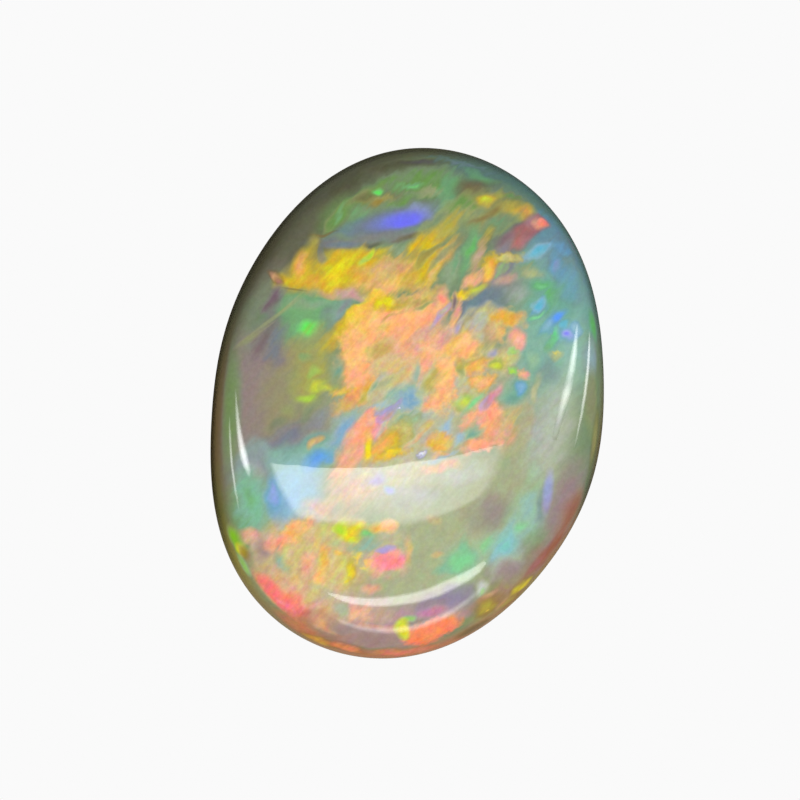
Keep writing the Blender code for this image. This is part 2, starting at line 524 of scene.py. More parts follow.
# Greens, blues and the violet lens under the top edge.
CROWN_EDGE = (
    cloud("leaf", "sage", 0.6, 8.05, 1.2, 0.4, 2, 0.9),
    mist("dark olive", "olive grey", -0.5, 8.5, 1.1, 0.28, 7, 0.7),
    mist("nightshade", "dark olive", 0.5, 8.62, 0.9, 0.16, 2, 0.7),
    cloud("meadow", "leaf", 0.05, 7.85, 0.7, 0.2, 4, 0.9),
    glow("spring", "meadow", 0.15, 7.82, 0.26, 0.08, 8, 0.5),
    cloud("leaf", "sage", -0.8, 7.95, 0.8, 0.22, 20, 0.9),
    cloud("milky olive", "leaf", 0.6, 7.55, 0.8, 0.28, 10, 0.8),
    cloud("jade", "jade", 1.35, 7.4, 0.9, 0.34, 80),
    cloud("jade", "sage", 1.15, 6.85, 0.7, 0.28, 75, 0.8),
    cloud("steel", "teal grey", 1.9, 8.55, 1.2, 0.2, -12, 0.6),
    mist("jade", "teal grey", 2.6, 8.15, 0.8, 0.2, -22, 0.7),
    mist("brown olive", "leaf", 2.2, 7.8, 0.9, 0.4, 10, 0.6),
    plain("leaf", "olive grey", -2.65, 6.8, 1.2, 0.6, 48, 0.5),
    mist("leaf", "moss", -1.75, 7.15, 1.0, 0.28, 40, 0.7),
    cloud("moss", "leaf", -1.9, 7.3, 0.9, 0.14, 42, 0.6),
    mist("leaf", "sage", -2.5, 6.6, 0.9, 0.32, 50, 0.6),
    cloud("leaf", "moss", -2.72, 6.55, 0.7, 0.16, 52, 0.7),
    cloud("meadow", "leaf", -2.4, 6.85, 0.5, 0.16, 55, 0.8),
    cloud("meadow", "sage", -1.95, 6.5, 0.7, 0.3, 48, 0.8),
    cloud("soft olive", "olive", -1.0, 7.35, 0.75, 0.22, 10, 0.9),
    mist("bronze", "olive", -1.15, 7.25, 0.4, 0.14, 15, 0.6),
    mist("brown olive", "olive", -1.6, 7.42, 0.6, 0.18, 30, 0.6),
    cloud("leaf", "sage", -0.2, 7.3, 0.9, 0.18, 16, 0.7),
    glow("spring", "leaf", -1.12, 7.68, 0.3, 0.17, 10, 0.7),
    mist("bright green", "spring", -1.12, 7.68, 0.17, 0.09, 10, 0.9),
    mist("steel", "grey green", -1.6, 6.35, 1.2, 0.4, 15, 0.9),
    plain("slate", "steel", -0.6, 6.52, 1.8, 0.5, 13, 0.9),
    mist("periwinkle", "slate", 0.15, 6.82, 1.0, 0.36, 13, 0.7),
    plain("hyacinth", "slate", -0.6, 6.56, 1.2, 0.4, 13, 0.8),
    plain("indigo", "hyacinth", -0.2, 6.6, 0.95, 0.32, 13, 0.8),
    mist("indigo", "indigo", -0.1, 6.55, 0.6, 0.16, 16, 0.8),
    mist("grey", "slate", -1.6, 5.95, 2.0, 0.2, 4, 0.8),
    mist("sage", "blue grey", -2.4, 6.0, 0.7, 0.16, 4, 0.6),
    mist("brown olive", "grey", 0.1, 6.02, 1.0, 0.13, 14, 0.8),
    cloud("sage", "moss", 1.0, 6.6, 0.8, 0.2, 38),
    mist("brown", "olive grey", -3.15, 6.1, 0.6, 0.08, 8, 0.7),
    mist("dark olive", "brown olive", -1.4, 5.75, 0.4, 0.07, 6, 0.7),
)

# The gold wedge, with orange in its tip and a lime streak.
GOLD_WEDGE = (
    mist("olive gold", "olive", -3.5, 5.6, 0.55, 0.3, 75, 0.8),
    glow("gold", "olive gold", -3.8, 4.65, 0.85, 0.5, 45),
    mist("gold", "olive gold", -4.4, 4.36, 0.5, 0.26, 12),
    glow("gold", "olive gold", -2.45, 4.9, 0.95, 0.7, 10),
    glow("gold", "olive gold", -1.4, 5.15, 1.0, 0.42, 4),
    plain("gold", "olive gold", -2.0, 5.36, 1.2, 0.24, 2, 0.8),
    mist("amber", "gold", -2.9, 4.32, 1.6, 0.28, -4, 0.9),
    mist("orange", "gold", -3.82, 5.0, 0.6, 0.34, 78, 0.8),
    mist("clay", "orange", -3.78, 5.1, 0.36, 0.2, 78, 0.4),
    leaf("sunny", "gold", -2.6, 4.75, 0.8, 0.5, 60, 0.9),
    leaf("sunny", "gold", -2.0, 5.1, 0.6, 0.2, 58, 0.6),
    mist("dune", "amber", -0.8, 4.6, 1.3, 0.38, 2),
    mist("amber", "gold", -1.7, 4.5, 0.5, 0.3, 0, 0.6),
    cloud("amber", "gold", 0.1, 4.75, 1.1, 0.5, 35, 0.9),
    leaf("apricot", "dune", -0.6, 4.25, 1.3, 0.24, 6, 0.7),
    leaf("tan", "dune", -0.6, 4.85, 0.8, 0.4, 18, 0.9),
    mist("clay", "tan", -0.9, 4.85, 0.6, 0.16, 20, 0.5),
    cloud("gold", "olive gold", -0.95, 5.45, 0.4, 0.16, 10, 0.9),
    mist("grey", "steel", -3.16, 5.45, 0.34, 0.15, 85, 0.6),
    plain("blue grey", "grey", -2.4, 5.72, 0.8, 0.16, 2, 0.8),
    cloud("milky sage", "sage", -0.3, 5.6, 0.6, 0.2, 12, 0.8),
    glow("apple", "yellow lime", -1.55, 5.25, 0.42, 0.12, 62, 0.8),
    glow("lime", "yellow lime", -1.47, 5.4, 0.24, 0.09, 60, 0.9),
    glow("pink tan", "brown", -4.76, 4.52, 0.24, 0.18, -50, 0.9),
    glow("rosewood", "brown", -4.66, 4.36, 0.15, 0.1, -50, 0.6),
    plain("brown olive", "moss", -4.1, 4.12, 0.6, 0.05, -8, 0.5),
)

# Gold, green and coral leaves that run up to the right.
UPPER_RIGHT = (
    cloud("moss", "sage", 2.1, 6.8, 1.1, 0.45, 40, 0.9),
    mist("brown olive", "olive grey", 2.4, 7.75, 0.9, 0.36, 5, 0.5),
    mist("brown", "brown olive", 2.2, 7.7, 0.6, 0.36, 10, 0.2),
    cloud("leaf", "moss", 2.1, 7.2, 0.9, 0.34, 15, 0.9),
    mist("brown", "soft olive", 2.6, 7.5, 0.6, 0.3, 5, 0.3),
    cloud("leaf", "olive", 3.5, 7.35, 0.6, 0.18, -5, 0.7),
    glow("olive gold", "soft olive", 2.85, 7.3, 0.55, 0.24, 0, 0.9),
    glow("yellow lime", "gold", 2.78, 7.3, 0.32, 0.15, -10, 0.8),
    glow("olive gold", "olive", 3.45, 6.95, 0.75, 0.24, 8, 0.9),
    glow("amber", "olive gold", 4.12, 6.86, 0.5, 0.28, 5),
    glow("orange", "amber", 4.22, 6.86, 0.2, 0.1, 5, 0.6),
    cloud("sage", "moss", 3.3, 6.45, 1.0, 0.26, 22, 0.9),
    cloud("jade", "sage", 2.95, 6.35, 0.6, 0.24, 50, 0.7),
    plain("brown", "olive", 2.9, 6.8, 0.62, 0.15, 34, 0.6),
    mist("soft olive", "moss", 2.5, 6.55, 0.6, 0.3, 40, 0.6),
    mist("brown", "olive", 2.5, 6.6, 0.6, 0.12, 26, 0.5),
    mist("rosewood", "plum", 4.3, 6.4, 0.55, 0.26, 30, 0.9),
    mist("plum", "grey", 3.4, 5.8, 0.5, 0.3, 30, 0.7),
    mist("rosewood", "plum", 3.9, 6.0, 0.95, 0.36, 40, 0.8),
    mist("plum", "violet grey", 3.5, 5.78, 0.4, 0.26, 40, 0.8),
    cloud("maroon", "rosewood", 4.15, 6.0, 0.5, 0.14, 44, 0.4),
    mist("raspberry", "rosewood", 4.05, 5.8, 0.36, 0.18, 45, 0.5),
    mist("clouded rose", "rosewood", 4.48, 6.55, 0.4, 0.26, 20, 0.6),
    glow("salmon", "rosewood", 4.68, 6.5, 0.3, 0.22, 10, 0.8),
    mist("coral", "coral", 4.76, 6.5, 0.15, 0.12, 0, 0.9),
    leaf("gold", "olive gold", 0.8, 5.92, 1.05, 0.36, 38),
    cloud("olive gold", "moss", 1.55, 6.48, 0.8, 0.24, 36, 0.9),
    leaf("dune", "amber", 1.1, 5.2, 1.0, 0.24, 50, 0.9),
    leaf("gold", "olive gold", 0.45, 4.85, 0.8, 0.28, 50, 0.9),
    leaf("dune", "gold", 0.8, 4.55, 0.6, 0.16, 55, 0.8),
    cloud("olive", "sage", 0.72, 5.35, 0.7, 0.12, 45, 0.7),
    cloud("sage", "moss", 1.3, 5.5, 0.7, 0.13, 52, 0.7),
    cloud("meadow", "jade", 2.15, 5.45, 0.9, 0.3, 72, 0.9),
    mist("green", "meadow", 2.2, 5.6, 0.5, 0.12, 72, 0.6),
    mist("milky sage", "sage", 1.5, 4.7, 0.9, 0.34, 72, 0.8),
    cloud("jade", "milky sage", 1.55, 4.95, 0.5, 0.14, 70, 0.6),
    cloud("grey green", "sage", 1.75, 5.9, 0.7, 0.16, 60, 0.7),
    cloud("olive gold", "olive", 2.78, 6.0, 0.5, 0.18, 62, 0.9),
    cloud("rose grey", "tan", 2.45, 5.3, 0.6, 0.2, 68, 0.8),
    cloud("lake", "steel", 5.4, 5.6, 0.7, 0.42, 30, 0.7),
    mist("ice", "clouded sea", 4.3, 5.35, 0.55, 0.28, 30, 0.5),
    mist("clouded slate", "taupe", 3.4, 5.6, 0.5, 0.2, 30, 0.6),
    glow("cyan", "ice", 4.68, 5.48, 0.42, 0.2, 18, 0.8),
    mist("lake", "steel", 5.3, 4.95, 0.5, 0.34, 100, 0.7),
    mist("lilac", "lake", 5.3, 5.0, 0.3, 0.16, 80, 0.4),
    mist("lake", "steel", 5.75, 4.4, 0.8, 0.5, 105, 0.5),
    mist("slate", "steel", 5.85, 5.65, 0.5, 0.16, -55, 0.7),
    cloud("slate", "steel", 3.5, 4.95, 0.4, 0.16, 42, 0.7),
    mist("rose grey", "taupe", 3.5, 4.5, 0.5, 0.26, 20, 0.7),
    cloud("moss", "jade", 4.15, 4.85, 0.45, 0.22, 10, 0.7),
    mist("milky sage", "sea", 4.45, 4.6, 0.6, 0.34, 20, 0.7),
    mist("straw", "milky sage", 4.4, 4.75, 0.45, 0.26, 20, 0.5),
    mist("fog", "sage", 3.9, 3.95, 0.6, 0.4, 20, 0.5),
    mist("green", "sea", 4.75, 4.25, 0.55, 0.34, -10, 0.6),
    mist("mint", "green", 4.72, 4.22, 0.22, 0.13, 0, 0.6),
    cloud("meadow", "sea", 5.1, 3.8, 0.6, 0.4, 60, 0.6),
    shred("gold", "olive gold", 2.95, 5.15, 0.4, 0.26, 40, 0.9),
    shred("straw", "olive gold", 3.45, 5.25, 0.55, 0.15, 6, 0.9),
    glow("honey", "amber", 2.86, 4.78, 0.4, 0.22, 74),
    spark("butter", "honey", 2.84, 4.76, 0.22, 0.12, 72, 0.7),
    cloud("apple", "milky olive", 3.3, 4.87, 0.3, 0.14, 60, 0.5),
    cloud("salmon", "apricot", 2.3, 4.47, 0.45, 0.2, 42, 0.9),
    shred("yellow", "gold", 1.95, 3.92, 0.34, 0.22, 40),
    glow("yellow lime", "olive gold", 2.5, 4.12, 0.46, 0.2, 26, 0.9),
)

# The salmon drift across the middle, with yellow and lime along its upper edge.
SALMON_DRIFT = (
    cloud("olive gold", "moss", -2.7, 2.3, 1.0, 0.36, 46, 0.9),
    cloud("gold", "olive gold", -2.15, 2.95, 0.9, 0.26, 46, 0.9),
    leaf("gold", "olive gold", -2.5, 2.5, 0.85, 0.2, 50, 0.5),
    shred("honey", "yellow", -1.45, 3.5, 0.7, 0.34, 32),
    shred("peach", "honey", -1.35, 3.05, 0.9, 0.5, 40),
    shred("apricot", "honey", -1.75, 2.45, 0.8, 0.55, 50),
    shred("apricot", "peach", -0.4, 2.95, 1.3, 0.6, 28),
    flake("apricot", "peach", -1.95, 1.7, 0.8, 0.55, 72),
    flake("salmon", "peach", -1.8, 0.95, 0.65, 0.42, 40),
    mist("yellow lime", "moss", -2.8, 0.6, 0.4, 0.22, 20, 0.7),
    flake("orange", "amber", -1.95, 0.2, 0.6, 0.28, 35, 0.8),
    cloud("olive gold", "dune", -1.6, 0.3, 0.5, 0.14, 45, 0.8),
    cloud("honey", "gold", -2.5, 0.42, 0.3, 0.18, 20, 0.8),
    flake("dune", "tan", -2.4, -0.1, 0.55, 0.24, 20, 0.8),
    cloud("amber", "dune", -1.4, 0.6, 0.4, 0.24, 50, 0.7),
    shred("clay", "peach", -0.4, 2.2, 1.1, 0.7, 40),
    shred("salmon", "peach", -0.05, 2.95, 0.8, 0.34, 30, 0.8),
    shred("coral", "salmon", 0.15, 2.58, 0.5, 0.16, 16, 0.6),
    shred("salmon", "clay", -0.05, 2.1, 0.45, 0.4, 60, 0.7),
    shred("salmon", "peach", 0.6, 3.05, 0.9, 0.34, 34, 0.9),
    shred("dune", "tan", 0.45, 3.85, 0.8, 0.26, 20, 0.8),
    cloud("clay", "rose grey", 0.95, 2.35, 0.9, 0.6, 30),
    mist("rose grey", "clay", 0.9, 1.92, 0.42, 0.2, 10, 0.8),
    cloud("rose grey", "clay", 1.5, 2.55, 0.7, 0.26, 55),
    flake("salmon", "apricot", 0.5, 1.6, 0.6, 0.42, 40, 0.8),
    glow("salmon", "clay", 1.16, 3.78, 0.36, 0.25, 80, 0.9),
    mist("coral", "salmon", 1.14, 3.82, 0.24, 0.14, 80, 0.6),
    cloud("melon", "peach", 1.72, 3.3, 0.5, 0.18, 72, 0.8),
    flake("apricot", "peach", 1.3, 0.95, 1.1, 0.4, 85),
    shred("apricot", "honey", 2.02, 2.15, 0.65, 0.5, 60),
    glow("salmon", "apricot", 2.05, 2.0, 0.4, 0.22, 30, 0.6),
    flake("salmon", "peach", 0.85, 0.05, 0.4, 0.26, 20, 0.9),
    flake("apricot", "amber", 2.6, 0.8, 0.46, 0.28, 20, 0.9),
    shred("sunny", "gold", -0.82, 3.62, 0.42, 0.26, 10),
    cloud("olive gold", "dune", -0.1, 3.7, 0.5, 0.24, -5, 0.9),
    mist("olive gold", "gold", -0.45, 3.52, 0.4, 0.14, 10, 0.7),
    cloud("soft olive", "dune", 0.5, 3.65, 0.5, 0.2, 10, 0.8),
    mist("honey", "straw", -1.1, 3.12, 0.4, 0.1, 40, 0.5),
    cloud("olive gold", "tan", -0.6, 3.1, 0.4, 0.07, 35, 0.6),
    mist("moss", "straw", 0.5, 3.52, 0.5, 0.1, 22, 0.9),
    cloud("straw", "dune", -1.05, 2.6, 0.5, 0.12, 30, 0.6),
    mist("olive gold", "straw", -1.05, 1.95, 0.55, 0.36, 15, 0.7),
    cloud("straw", "beige", -0.75, 1.65, 0.6, 0.2, 25, 0.8),
    cloud("dune", "beige", -0.6, 1.4, 0.7, 0.32, 20, 0.9),
    cloud("dune", "beige", -0.2, 0.95, 0.6, 0.26, 30, 0.7),
    mist("clouded sea", "beige", 0.16, 1.1, 0.55, 0.14, 84, 0.8),
    cloud("clouded sage", "straw", -0.95, 0.6, 0.6, 0.22, 40, 0.8),
    mist("sea", "fog", -1.2, 0.62, 0.36, 0.1, 50, 0.7),
    mist("milky sage", "moss", -2.66, 1.3, 0.6, 0.32, 80, 0.8),
    mist("teal", "milky sage", -2.6, 1.05, 0.36, 0.2, 80, 0.7),
    cloud("moss", "soft olive", -2.6, 0.75, 0.3, 0.2, 60, 0.6),
    mist("olive gold", "straw", 0.8, 0.95, 0.5, 0.24, 80, 0.7),
    mist("moss", "straw", 0.55, 0.75, 0.36, 0.18, 70, 0.7),
    cloud("olive gold", "straw", 2.3, 1.42, 0.5, 0.24, 20, 0.9),
    shred("honey", "orange", 2.5, 1.42, 0.45, 0.26, 30, 0.9),
    mist("moss", "straw", 1.95, 1.1, 0.34, 0.2, 80, 0.9),
    mist("olive gold", "moss", 1.9, 1.4, 0.34, 0.16, 100, 0.6),
    cloud("fog", "slate", 1.95, 3.0, 0.6, 0.16, 58, 0.9),
    mist("lilac", "rose grey", 1.72, 2.68, 0.36, 0.12, 55, 0.5),
    mist("fog", "lilac", 1.22, 3.4, 0.34, 0.1, 55, 0.9),
    mist("lilac", "rose grey", 0.95, 3.0, 0.4, 0.12, 48, 0.6),
    mist("plum", "rose grey", 1.58, 3.7, 0.36, 0.1, 70, 0.9),
)

# Gaps, greens and sparks round the drift's left end.
LEFT_SIDE = (
    plain("leaf", "sage", -6.35, -0.2, 2.6, 0.4, 88, 0.7),
    leaf("plum", "violet grey", -4.84, 3.75, 0.55, 0.28, 52, 0.9),
    cloud("plum", "violet grey", -5.3, 2.3, 0.9, 0.36, 60, 0.7),
    cloud("slate", "violet grey", -4.75, 2.1, 0.8, 0.3, 75, 0.8),
    mist("clouded sea", "sea", -2.9, 3.7, 0.8, 0.2, 4, 0.5),
    mist("clouded slate", "slate", -2.75, 3.1, 0.8, 0.4, 50, 0.8),
    mist("clouded slate", "clouded sea", -2.35, 3.5, 0.6, 0.24, 40, 0.7),
    cloud("sage", "meadow", -3.0, 2.75, 0.5, 0.3, 60, 0.6),
    mist("milky sage", "meadow", -3.7, 3.6, 1.1, 0.3, 5, 0.7),
    plain("milky olive", "moss", -4.9, 3.05, 1.5, 0.08, 37, 0.5),
    plain("milky olive", "moss", -4.2, 3.65, 0.9, 0.05, 42, 0.4),
    plain("milky olive", "dusk", -5.3, 2.62, 0.8, 0.05, 35, 0.4),
    plain("moss", "dusk", -5.7, 2.35, 0.7, 0.16, 32, 0.5),
    glow("spring", "meadow", -3.65, 2.7, 0.65, 0.45, 0, 0.45),
    glow("spring", "spring", -3.65, 2.76, 0.3, 0.25, 0, 0.9),
    glow("bright green", "bright green", -3.62, 2.76, 0.2, 0.17, 0, 0.9),
    cloud("moss", "soft olive", -3.7, 2.0, 0.8, 0.5, 60, 0.8),
    mist("soft olive", "moss", -3.6, 1.2, 1.1, 0.6, 80, 0.8),
    cloud("olive gold", "soft olive", -3.2, 1.5, 0.9, 0.26, 70, 0.7),
    cloud("lime olive", "soft olive", -3.3, 0.7, 0.6, 0.36, 20, 0.9),
    glow("yellow lime", "lime olive", -3.2, 0.66, 0.44, 0.26, 25, 0.7),
    glow("lime", "lime olive", -3.72, 0.28, 0.36, 0.18, 15, 0.7),
    mist("meadow", "soft olive", -3.7, 1.6, 0.4, 0.26, 10, 0.6),
    mist("apple", "lime olive", -3.4, 1.2, 0.34, 0.22, 40, 0.6),
    mist("moss", "warm olive", -4.3, -0.25, 0.5, 0.36, 30, 0.8),
    mist("grey green", "warm olive", -4.7, -0.7, 0.5, 0.2, 20, 0.6),
    mist("rose grey", "tan", -2.35, 3.98, 1.1, 0.17, -4, 0.8),
    mist("rose", "rose grey", -1.9, 3.86, 0.5, 0.15, -4, 0.35),
)

# The blue gap, the violet streak and the strip that runs down to the left.
MIDDLE = (
    cloud("clouded sea", "oat", -0.45, 0.3, 0.8, 0.36, 15, 0.8),
    shred("pale sky", "clouded sea", -0.1, 0.15, 0.6, 0.4, 20, 0.8),
    shred("sky", "pale sky", 0.0, 0.1, 0.4, 0.3, 70, 0.7),
    cloud("clouded sky", "fog", -0.85, 0.1, 0.4, 0.16, 10, 0.7),
    mist("pale sky", "clouded sea", -2.4, -1.05, 1.1, 0.46, 48, 0.9),
    cloud("sky", "pale sky", -2.3, -0.95, 0.8, 0.26, 50, 0.6),
    mist("sea", "clouded sea", -3.25, -1.2, 0.6, 0.34, 35, 0.6),
    glow("lake", "clouded sea", -3.25, -1.95, 0.9, 0.36, 18),
    glow("blue", "lake", -3.25, -2.02, 0.6, 0.22, 12, 0.5),
    mist("clouded slate", "warm olive", -3.2, -0.45, 0.8, 0.34, 35, 0.8),
    mist("clouded sea", "fog", 0.3, -0.5, 0.8, 0.3, 20, 0.6),
    cloud("clouded mint", "moss", 0.1, -0.75, 0.6, 0.3, 20),
    cloud("sea", "clouded mint", -0.25, -0.55, 0.34, 0.12, 30, 0.6),
    cloud("clouded sky", "fog", 1.3, -0.85, 0.4, 0.24, 60, 0.8),
    cloud("ice", "fog", 1.75, -1.2, 0.5, 0.24, 30, 0.8),
    cloud("clouded sky", "fog", 1.2, -1.85, 0.7, 0.12, 12, 0.6),
    leaf("clay", "salmon", -1.95, -1.5, 1.3, 0.4, 60),
    leaf("salmon", "melon", -1.55, -0.9, 0.8, 0.28, 62),
    leaf("shell", "salmon", -1.35, -0.55, 0.5, 0.2, 50, 0.9),
    leaf("rose", "pink", -1.12, -0.75, 0.5, 0.1, 58, 0.7),
    cloud("oat", "shell", -0.95, -0.85, 0.5, 0.1, 55, 0.9),
    cloud("lilac", "purple", -0.65, -0.08, 0.45, 0.14, 26, 0.8),
    cloud("clouded rose", "lilac", -0.75, -0.4, 0.4, 0.14, 35, 0.7),
    shred("straw", "olive gold", -0.35, -1.15, 0.65, 0.46, 60, 0.9),
    mist("gold", "olive gold", -0.5, -1.3, 0.4, 0.3, 60, 0.6),
    shred("gold", "olive gold", -0.6, -1.45, 0.5, 0.36, 70, 0.8),
    leaf("orange", "amber", -1.0, -1.5, 0.6, 0.28, 60, 0.9),
    shred("yellow", "gold", -0.6, -1.78, 0.6, 0.18, 15, 0.8),
    glow("yellow", "gold", -1.47, -1.62, 0.5, 0.17, 88),
    glow("yellow", "yellow", -1.47, -1.55, 0.34, 0.1, 88, 0.8),
    leaf("clay", "oat", 0.25, -1.2, 0.6, 0.14, 50, 0.8),
    cloud("dune", "oat", 0.65, -0.65, 0.5, 0.24, 30, 0.7),
    shred("gold", "dune", 0.95, -1.35, 0.4, 0.24, 20, 0.9),
    glow("orange", "amber", 1.02, -1.52, 0.24, 0.12, 10, 0.7),
    glow("peach", "shell", 1.1, -1.75, 0.24, 0.1, 0, 0.6),
    cloud("honey", "amber", 1.08, -1.35, 0.45, 0.26, 5, 0.7),
    cloud("olive gold", "straw", 0.8, 0.85, 0.45, 0.26, 60, 0.5),
    glow("steel", "fog", 0.45, -1.8, 0.3, 0.16, 30, 0.5),
    spark("white", "lilac", 0.46, -1.76, 0.2, 0.1, 35),
    spark("white", "lilac", -0.33, -0.12, 0.08, 0.05, 20),
    glow("dune", "tan", -3.32, -1.34, 0.34, 0.15, 50, 0.9),
    shred("salmon", "clay", 2.25, -0.5, 0.5, 0.2, 38, 0.9),
    shred("salmon", "melon", 2.95, -0.6, 0.85, 0.4, -78),
    shred("salmon", "melon", 2.65, -1.4, 0.65, 0.24, 12),
    mist("coral", "salmon", 2.85, -0.35, 0.36, 0.16, -60, 0.6),
    cloud("clay", "tan", 3.45, -0.95, 0.5, 0.42, 60, 0.9),
    cloud("dune", "clouded olive", 3.7, -0.4, 0.6, 0.3, 70, 0.8),
    cloud("sea", "clouded mint", 2.3, -0.95, 0.4, 0.2, 30, 0.9),
    shred("lime olive", "straw", 2.05, 0.1, 0.45, 0.34, 30, 0.8),
    glow("yellow lime", "apple", 2.02, 0.16, 0.34, 0.24, 40, 0.65),
    cloud("mint", "clouded mint", 2.35, 0.12, 0.5, 0.14, 42, 0.9),
    glow("clouded rose", "lilac", 2.78, -0.02, 0.36, 0.18, 45, 0.9),
    glow("rose", "clouded rose", 3.05, 0.32, 0.52, 0.2, 66, 0.75),
    mist("ice", "clouded sky", -4.0, -3.0, 1.0, 0.9, 60, 0.9),
    mist("shell", "oat", -3.2, -3.7, 0.7, 0.4, 0, 0.6),
    mist("lilac", "clouded slate", 0.0, -3.3, 1.2, 0.5, 0, 0.3),
    mist("shell", "oat", -2.0, -3.1, 1.2, 0.9, 20, 0.5),
    mist("lilac", "fog", -1.2, -2.7, 0.6, 0.3, 10, 0.7),
    mist("periwinkle", "ice", -0.7, -3.1, 0.28, 0.22, 0, 0.8),
    mist("clouded sage", "oat", -0.2, -3.5, 0.9, 0.4, 0, 0.5),
    mist("melon", "clay", 1.1, -2.2, 0.65, 0.16, 6, 0.6),
)

# Small flakes and dots on teal at the right.
RIGHT_SIDE = (
    cloud("steel", "slate", 2.5, 3.65, 0.6, 0.34, 40),
    cloud("fog", "straw", 2.6, 2.95, 0.6, 0.4, 30, 0.9),
    mist("fog", "rose grey", 2.55, 2.6, 0.4, 0.24, 60, 0.6),
    mist("straw", "fog", 2.75, 3.42, 0.6, 0.2, 10, 0.6),
    mist("clouded mint", "clouded sea", 3.5, 0.5, 0.4, 0.2, 80, 0.5),
    mist("clouded sage", "clouded mint", 3.8, -1.8, 0.7, 0.4, 60, 0.4),
    mist("clay", "tan", 2.95, 2.55, 0.5, 0.24, 60, 0.7),
    cloud("green", "sea", 5.0, 3.75, 0.6, 0.26, 60, 0.6),
    shred("amber", "dune", 3.5, 3.12, 0.62, 0.3, -8, 0.9),
    glow("amber", "amber", 3.55, 3.2, 0.34, 0.16, -10, 0.6),
    shred("peach", "dune", 3.25, 2.55, 0.36, 0.24, 70, 0.8),
    cloud("straw", "moss", 2.75, 1.95, 0.4, 0.3, 40, 0.7),
    mist("lilac", "fog", 3.0, 1.88, 0.3, 0.22, 30, 0.7),
    mist("straw", "beige", 3.5, 1.7, 0.6, 0.4, 60, 0.9),
    shred("lime olive", "straw", 3.25, 1.5, 0.42, 0.26, 30, 0.9),
    glow("yellow lime", "lime olive", 3.2, 1.42, 0.26, 0.13, 20, 0.8),
    glow("melon", "clay", 3.95, 2.32, 0.34, 0.36, 0),
    mist("shell", "shell", 3.94, 2.3, 0.28, 0.3, 0, 0.9),
    mist("clouded mint", "sea", 4.4, 1.6, 0.6, 0.26, 90, 0.7),
    spark("apple", "mint", 3.72, 1.9, 0.2, 0.15, 0, 0.7),
    spark("apple", "moss", 3.72, 1.2, 0.26, 0.2, 0, 0.9),
    spark("lime", "apple", 3.68, 1.18, 0.14, 0.1, 0, 0.7),
    spark("shell", "clay", 4.1, 1.06, 0.22, 0.2, 0),
    mist("sea", "clouded sea", 3.7, 0.38, 0.4, 0.46, 30, 0.8),
    mist("teal", "sea", 3.62, 0.3, 0.2, 0.26, 0, 0.5),
    mist("lake", "sea", 3.95, 0.62, 0.32, 0.32, 0),
    mist("clouded sky", "lake", 3.97, 0.62, 0.2, 0.18, 0, 0.6),
    cloud("sky", "sea", 4.65, 3.5, 0.5, 0.26, 30, 0.8),
    glow("cyan", "ice", 4.62, 3.55, 0.28, 0.13, 30, 0.8),
    glow("mint", "sea", 4.5, 3.17, 0.42, 0.1, 38, 0.9),
    cloud("sky", "sea", 5.15, 2.85, 0.55, 0.36, 50, 0.7),
    glow("blue", "sky", 5.28, 3.08, 0.38, 0.2, 50),
    glow("ice", "sky", 4.95, 2.8, 0.26, 0.17, 30, 0.6),
    glow("spring", "sea", 5.16, 2.42, 0.4, 0.17, 62, 0.9),
    spark("bright green", "spring", 5.2, 2.5, 0.16, 0.06, 62, 0.5),
    mist("meadow", "sea", 4.97, 2.05, 0.3, 0.14, 60, 0.7),
    mist("straw", "clouded sea", 5.26, 1.82, 0.34, 0.26, 0, 0.8),
    spark("butter", "straw", 5.26, 1.84, 0.14, 0.1, 0, 0.8),
    mist("ice", "sky", 5.6, 2.6, 0.5, 0.36, 20, 0.6),
    glow("cyan", "sea", 5.58, 2.82, 0.28, 0.18, 30, 0.7),
    glow("periwinkle", "sky", 5.62, 2.5, 0.28, 0.2, 10, 0.9),
    glow("indigo", "periwinkle", 5.6, 2.5, 0.14, 0.09, 10, 0.6),
    glow("ice", "sky", 6.02, 2.62, 0.2, 0.18, 60, 0.8),
    mist("steel", "sea", 4.95, 1.2, 0.8, 0.5, 60, 0.6),
    mist("straw", "milky sage", 4.55, 0.55, 0.6, 0.2, 75, 0.5),
    plain("green", "sea", 6.58, 2.85, 0.7, 0.36, 100, 0.8),
    plain("pale sky", "clouded slate", 6.55, 1.7, 0.8, 0.4, 92, 0.6),
    plain("warm olive", "moss", 6.55, 0.1, 1.3, 0.34, 92, 0.6),
    plain("soft olive", "rim olive", 6.66, -1.2, 1.2, 0.3, 84, 0.6),
)

